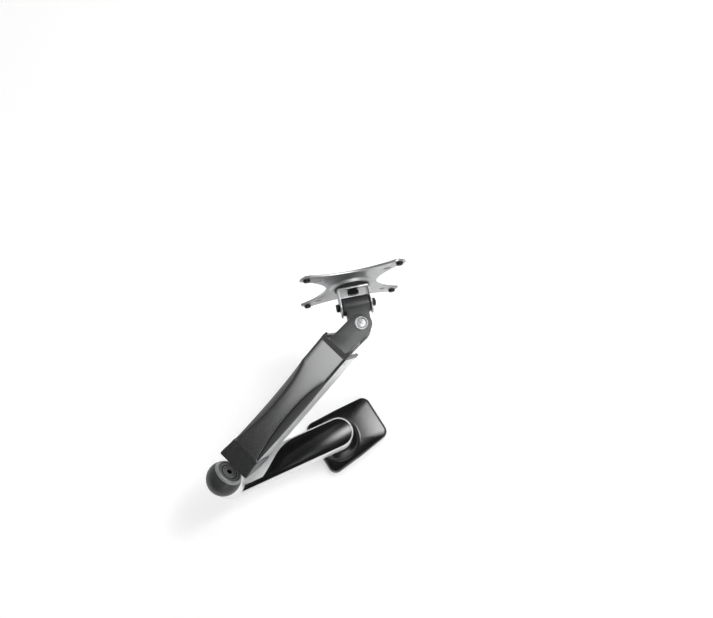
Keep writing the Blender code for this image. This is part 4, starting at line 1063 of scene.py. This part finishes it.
def gas_spring():
    """Black cylinder hung on the casing's pin, and the bright rod that reaches the elbow's pin."""
    length = SPRING_LINE.length
    eye_half = 0.004
    barrel = along_x(lathe(rounded([(0, 0.011), (0.006, 0.011), (0.0085, 0.0125), (0.0085, 0.088), (0.007, 0.09),
                                    (0.0037, 0.09), (0.0037, 0.014), (0, 0.014)],
                                   [0, 0.0004, 0.0004, 0.0006, 0.0004, 0.0002, 0, 0], 3), 64))
    neck = slab(box(0, -0.004, 0.0125, 0.004), -0.0035, 0.0035, "Y")
    make("gas_spring_cylinder", "spring_cylinder", barrel, AT_SPRING,
         joins=[along_y(rod(0.0066, -eye_half, eye_half, 48, 0.0004)), neck],
         cuts=[cross_hole(SPRING_PIN_RADIUS + GAP, eye_half)])
    make("gas_spring_rod", "spring_rod", along_x(rod(0.0034, 0.036, length - 0.0062, 40)), AT_SPRING,
         joins=[along_y(rod(0.007, -eye_half, eye_half, 48, 0.0004), (length, 0, 0))],
         cuts=[cross_hole(0.005, eye_half, length)])


# ---- head

def cross_recess(reach, deep, level):
    """Two crossed wedges for a cross-head recess whose face is at a level."""
    tools = []
    for turn in (0, 90):
        wedge = slab(box(-reach, -0.00045, reach, 0.00045), level - deep, level + 0.001)
        bmesh.ops.rotate(wedge, cent=(0, 0, 0), matrix=Matrix.Rotation(radians(turn + 20), 3, "Z"),
                         verts=wedge.verts)
        tools.append(wedge)
    return tools


def head_bracket():
    """Level bracket: two pivot barrels at the back and the pan fork in front."""
    middle = HEAD_CENTRE - HEAD_PIVOT.z
    top, bottom = middle + FORK_HALF, middle - FORK_HALF
    low = -PIVOT_SPACING
    side = arc((0, low), 0.008, 180, 300, 24) + [(0.02, bottom), (0.06, bottom), (0.06, top), (0.01, top)]
    side += arc((0, 0), 0.0085, 25, 180, 28)
    plan = [(-0.02, -HEAD_HALF - 0.001), (PAN_REACH - 0.004, -HEAD_HALF - 0.001)]
    plan += arc((PAN_REACH, 0), 0.012, -90, 90, 36)
    plan += [(PAN_REACH - 0.004, HEAD_HALF + 0.001), (-0.02, HEAD_HALF + 0.001)]
    mouth = FORK_HALF - EAR_THICK
    slot = rounded(box(0.03, middle - mouth, 0.08, middle + mouth), [0.0015, 0, 0, 0.0015], 5)
    plan_block = slab(plan, bottom - 0.02, top, "Z", 0.0007, 0.0)
    taller = slab(box(-0.02, -0.02, 0.012, 0.02), top - 0.004, top + 0.02)
    cuts = [across(slot), moved(flare_hole(PAN_PIN_RADIUS + GAP, bottom, top), (PAN_REACH, 0, 0))]
    cuts += [cross_hole(PIN_RADIUS + GAP, HEAD_HALF, 0, height) for height in (0, low)]
    cuts.append(slab(hull([(0.02, middle, 0.003), (0.025, middle, 0.003)]), -0.03, -0.0085, "Y"))
    kept = shaped(plan_block, joins=[taller])
    make("head_bracket", "head", slab(side, -HEAD_HALF, HEAD_HALF, "Y", 0.0008), AT_HEAD,
         common=[kept], cuts=cuts)


def pan_parts():
    """Pan pin with its cross-marked head, and the two friction washers."""
    top = FORK_HALF
    profile = [(0, -top - 0.002), (0.0064, -top - 0.002), (0.0068, -top - 0.0003), (0.005, -top - 0.0003),
               (0.005, top + 0.0003), (0.0075, top + 0.0003), (0.0075, top + 0.0012), (0.0069, top + 0.0018),
               (0.006, top + 0.0018), (0.0057, top + 0.0008), (0.005, top + 0.0006), (0.0046, top + 0.0014),
               (0, top + 0.0017)]
    cross = cross_recess(0.0036, 0.001, top + 0.0016)
    make("pan_pin", "head", lathe(profile), AT_PAN_PIN, cuts=cross, sharp=25)
    mouth = FORK_HALF - EAR_THICK
    make("pan_washer_upper", "head", tube(0.0053, 0.0105, mouth - 0.0013, mouth - GAP), AT_PAN_PIN)
    make("pan_washer_lower", "head", tube(0.0053, 0.0105, GAP - mouth, 0.0013 - mouth), AT_PAN_PIN)


def tilt_knuckle():
    """Tongue on the pan pin that carries the level tilt barrel."""
    tongue = FORK_HALF - EAR_THICK - 0.0016
    plan = arc((0, 0), 0.0115, 90, 270, 36) + [(TILT_REACH, -0.013), (TILT_REACH, 0.013)]
    barrel = along_y(rod(BARREL_RADIUS, -BARREL_HALF, BARREL_HALF, 96, 0.0008), (TILT_REACH, 0, 0))
    make("tilt_knuckle", "knuckle", slab(plan, -tongue, tongue, "Z", 0.0007), AT_PAN, joins=[barrel],
         cuts=[flare_hole(PAN_PIN_RADIUS + GAP, -tongue, tongue), cross_hole(TILT_BORE, BARREL_HALF, TILT_REACH)])


def hex_block(across, low, high, chamfers=(True, True)):
    """A hexagon bar and the turned shape that rounds off its corners: to be intersected."""
    corner = across / sqrt(3) * 1.001
    flat = across / 2 * 0.96
    fall = (corner - flat) * 0.55
    profile = [(0, low)]
    profile += [(flat, low), (corner, low + fall)] if chamfers[0] else [(corner, low)]
    profile += [(corner, high - fall), (flat, high)] if chamfers[1] else [(corner, high)]
    profile.append((0, high))
    return hexagon(across, low, high), lathe(profile, 72)


def tilt_parts():
    """Clevis round the barrel, its bolt, nut and washers."""
    front = WEB_BACK + 0.0023
    ear_in, ear_out = BARREL_HALF + 0.0009, BARREL_HALF + 0.0027
    half_height = 0.0125
    web = rounded(box(-ear_out, -half_height, ear_out, half_height), 0.0015, 5)
    ear = hull([(0, 0, 0.0118), (WEB_BACK + 0.001, 0.0105, 0.0013), (WEB_BACK + 0.001, -0.0105, 0.0013)], 72)
    ears = [slab(ear, low, high, "Y", 0.0003) for low, high in ((ear_in, ear_out), (-ear_out, -ear_in))]
    make("tilt_bracket", "tilt", slab(web, WEB_BACK, front, "X", 0.0003), AT_TILT, joins=ears,
         cuts=[cross_hole(TILT_BORE, ear_out, rim=0.0002), along_x(rod(TURN_BORE, 0.0, 0.05))])
    low, high = ear_out + GAP, ear_out + 0.0043
    bar, rounds = hex_block(TILT_HEX, low, high, (False, True))
    head = shaped(along_y(bar), common=[along_y(rounds)])
    shank = along_y(rod(TILT_BORE - GAP, -ear_out - 0.0048, ear_out + 0.001, 40, 0.0004))
    make("tilt_bolt", "tilt", head, AT_TILT, joins=[shank], sharp=22)
    bar, rounds = hex_block(TILT_HEX, -ear_out - 0.0041, -ear_out - GAP)
    make("tilt_nut", "tilt", along_y(bar), AT_TILT, common=[along_y(rounds)],
         cuts=[along_y(rod(TILT_BORE, -0.03, 0.03, 40))], sharp=22)
    for node, side in (("tilt_washer_right", -1), ("tilt_washer_left", 1)):
        near, far = sorted((side * (BARREL_HALF + 0.0002), side * (ear_in - 0.0002)))
        make(node, "tilt", along_y(tube(TILT_BORE, 0.0085, near, far, 64, 0.0001)), AT_TILT)


def turn_parts():
    """Friction ring, centre bolt and nut that hold the screw plate to the clevis."""
    ring = tube(TURN_BORE, 0.02, PLATE_REACH - 0.0069, PLATE_REACH - PLATE_THICK - 0.0034, 96)
    make("turn_friction_ring", "tilt", along_x(ring), AT_TILT)
    head = PLATE_REACH - 0.0029
    profile = [(0, 0.0118), (0.0037, 0.0118), (0.004, 0.0122), (0.004, head), (0.008, head),
               (0.008, head + 0.0012), (0.0078, head + 0.0017), (0.007, head + 0.002), (0, head + 0.002)]
    make("turn_bolt", "tilt", along_x(lathe(profile)), AT_TILT, sharp=25)
    bar, rounds = hex_block(0.012, WEB_BACK - 0.0041, WEB_BACK - 0.0003)
    make("turn_nut", "tilt", along_x(bar), AT_TILT, common=[along_x(rounds)],
         cuts=[along_x(rod(TURN_BORE, 0, 0.05))], sharp=22)


def screw_plate_outline():
    """Four-armed plate: deep scallops at the sides and shallow ones above and below."""
    half = 0.0575
    tip = 0.012
    points = []
    for k in range(4):
        depth = 0.029 if k % 2 == 0 else 0.011
        low, high = tip - half, half - tip
        edge = [(half, low)]
        steps = 36
        for i in range(1, steps):
            part = i / steps
            bump = sin(pi * part) ** 0.8
            edge.append((half - depth * bump, low + (high - low) * part))
        edge.append((half, high))
        edge += arc((half - tip, half - tip), tip, 0, 90, 16)[1:]
        angle = radians(90 * k)
        for x, y in edge[:-1]:
            points.append((x * cos(angle) - y * sin(angle), x * sin(angle) + y * cos(angle)))
    return points


def screw_plate():
    """Stamped screw plate with a raised round centre, and its corner screws."""
    dish = lathe(soft([(0, 0.0018), (0.0265, 0.0018), (0.023, 0.0056), (0, 0.0056)], 0.0007), 128)
    hollow = plug([(0.024, -0.001), (0.024, 0.0004), (0.0212, 0.0033)], 128)
    groove = lathe([(0.017, 0.0053), (0.0185, 0.0053), (0.0185, 0.007), (0.017, 0.007)], 128)
    bore = plug([(TURN_BORE, -0.01), (TURN_BORE, 0.02)], 47, 0.02)
    cuts = [along_back(hollow), along_back(groove), along_back(bore)]
    inner, outer = SCREW_PITCHES
    for node, sy, sz in (("screen_screw_1", 1, 1), ("screen_screw_2", -1, 1),
                         ("screen_screw_3", -1, -1), ("screen_screw_4", 1, -1)):
        place = (0, sy * outer, sz * outer)
        cuts.append(along_x(flare_hole(0.0023, -PLATE_THICK, 0), place))
        slot = [(y + sy * inner, z + sz * inner) for y, z in stadium(-0.0016, 0.0016, 0.0024, 16)]
        cuts.append(slab(slot, -0.01, 0.01, "X"))
        screw = lathe([(0, -0.0016), (0.0017, -0.0016), (0.002, -0.0012), (0.002, 0.0028), (0.0037, 0.0028),
                       (0.0039, 0.003), (0.0039, 0.0042), (0.0036, 0.0049), (0.0028, 0.0053), (0, 0.0054)], 48)
        recess = [along_back(tool, place) for tool in cross_recess(0.002, 0.0012, 0.0054)]
        make(node, "screen_mount", along_back(screw, place), AT_FACE, cuts=recess, sharp=25)
    make("screw_plate", "screen_mount", slab(screw_plate_outline(), -PLATE_THICK, 0.0, "X", 0.0005), AT_FACE,
         joins=[along_back(dish)], cuts=cuts)


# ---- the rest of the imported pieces

def packed_pieces():
    """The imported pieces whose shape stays: they take the finish of their slot, with their rims eased."""
    for node, item in frame["nodes"].items():
        dress(item, node)
        if not item.hide_render:
            item.modifiers.new("weld", "WELD").merge_threshold = 0.00001
            ease(item, 0.00018, 35).use_clamp_overlap = False


# ---- floor, lights, camera

def floor():
    """Plain pale floor."""
    mesh = bpy.data.meshes.new("floor")
    corners = box(-FLOOR_HALF, -FLOOR_HALF, FLOOR_HALF, FLOOR_HALF)
    mesh.from_pydata([(x, y, 0) for x, y in corners], [], [(0, 1, 2, 3)])
    pale = Finish("floor", grey(0.9), 0.9, 0.0)
    pale.colours(pale.noise(2.0), grey(0.845), grey(0.855))
    pale.inputs["Emission Color"].default_value = (1, 1, 1, 1)
    pale.inputs["Emission Strength"].default_value = FLOOR_GLOW
    mesh.materials.append(pale.material)
    ground = placed("floor", mesh, Matrix.Translation((0, 0, -0.0002)))


def softbox(name, place, look_at, width, height, radiance, core):
    """A rectangular area light aimed at a point: bright in its middle, fading out to its edges."""
    data = bpy.data.lights.new(name, "AREA")
    data.shape = "RECTANGLE"
    data.size = width
    data.size_y = height
    data.energy = pi * width * height
    data.use_nodes = True
    tree = data.node_tree
    spot = shader_node(tree, "NewGeometry", {}).outputs["Parametric"]
    centred = shader_node(tree, "VectorMath", {0: spot, 1: (0.5, 0.5, 0)}, operation="SUBTRACT")
    length = shader_node(tree, "VectorMath", {0: centred.outputs["Vector"]}, operation="LENGTH")
    fall = {"Value": length.outputs["Value"], "From Min": core * 0.5, "From Max": 0.5, "To Min": radiance,
            "To Max": 0.0}
    fade = shader_node(tree, "MapRange", fall, interpolation_type="SMOOTHSTEP")
    tree.links.new(fade.outputs["Result"], tree.nodes["Emission"].inputs["Strength"])
    aim_at = Vector(look_at) - Vector(place)
    placed(name, data, Matrix.Translation(place) @ aim_at.to_track_quat("-Z", "Y").to_matrix().to_4x4())


def surround():
    """A plain studio surround: pale, darker overhead, with one soft dark area low on the +X side."""
    world = bpy.data.worlds.new("studio")
    world.use_nodes = True
    tree = world.node_tree
    background = tree.nodes["Background"]
    background.inputs["Strength"].default_value = 1.0
    direction = shader_node(tree, "TexCoord", {}).outputs["Generated"]
    low_side = Vector((0.9, 0.08, 0.34)).normalized()
    beside = shader_node(tree, "VectorMath", {0: direction, 1: low_side}, operation="DOT_PRODUCT").outputs["Value"]
    sides = graded(tree, beside, 0.72, 0.97, grey(SURROUND), grey(SURROUND_DARK), "EASE")
    overhead = shader_node(tree, "VectorMath", {0: direction, 1: (0, 0, 1)}, operation="DOT_PRODUCT")
    top = shader_node(tree, "MapRange", {"Value": overhead.outputs["Value"], "From Min": 0.45, "From Max": 0.92},
                      interpolation_type="SMOOTHSTEP")
    mix = shader_node(tree, "Mix", {"Factor": top.outputs["Result"], "A": sides, "B": (*grey(SURROUND_TOP), 1)},
                      data_type="RGBA")
    tree.links.new(mix.outputs["Result"], background.inputs["Color"])
    bpy.context.scene.world = world


def lights():
    """Large soft lights over the surround."""
    target = (0.03, -0.03, 0.1)
    softbox("key_high", (-0.54, -0.03, 1.52), (-0.04, 0.0, 0), 0.5, 0.74, 24.0, 0.1)
    softbox("strip_top", (0.03, 0.03, 1.58), (0.03, 0.0, 0), 0.46, 0.22, 4.5, 0.1)
    softbox("side_far", (1.1, 0.05, 1.37), target, 1.3, 0.95, 1.0, 0.72)
    softbox("fill_left", (-1.3, -0.9, 1.3), target, 1.6, 1.3, 3.0, 0.5)
    softbox("fill_back", (0.1, 1.5, 1.1), target, 1.6, 1.00, 2.5, 0.5)


def camera():
    """A normal lens that looks down on the arm from beyond its base."""
    data = bpy.data.cameras.new("camera")
    data.sensor_width = 36.0
    data.lens = LENS
    data.clip_end = 20.0
    right = Vector(EYE_RIGHT).normalized()
    ahead = Vector(EYE_AHEAD).normalized()
    above = right.cross(ahead)
    right = ahead.cross(above)
    turn = Matrix((right, above, -ahead)).transposed().to_4x4()
    bpy.context.scene.camera = placed("camera", data, Matrix.Translation(EYE) @ turn)


for build in (base, lower_link, elbow, casing, top_panel, shoulder_inlays, elbow_end_cap, head_collar, pins, strut,
              gas_spring, head_bracket, pan_parts, tilt_knuckle, tilt_parts, turn_parts, screw_plate,
              packed_pieces, floor, lights, surround, camera):
    build()
bpy.context.scene.view_settings.view_transform = "Standard"
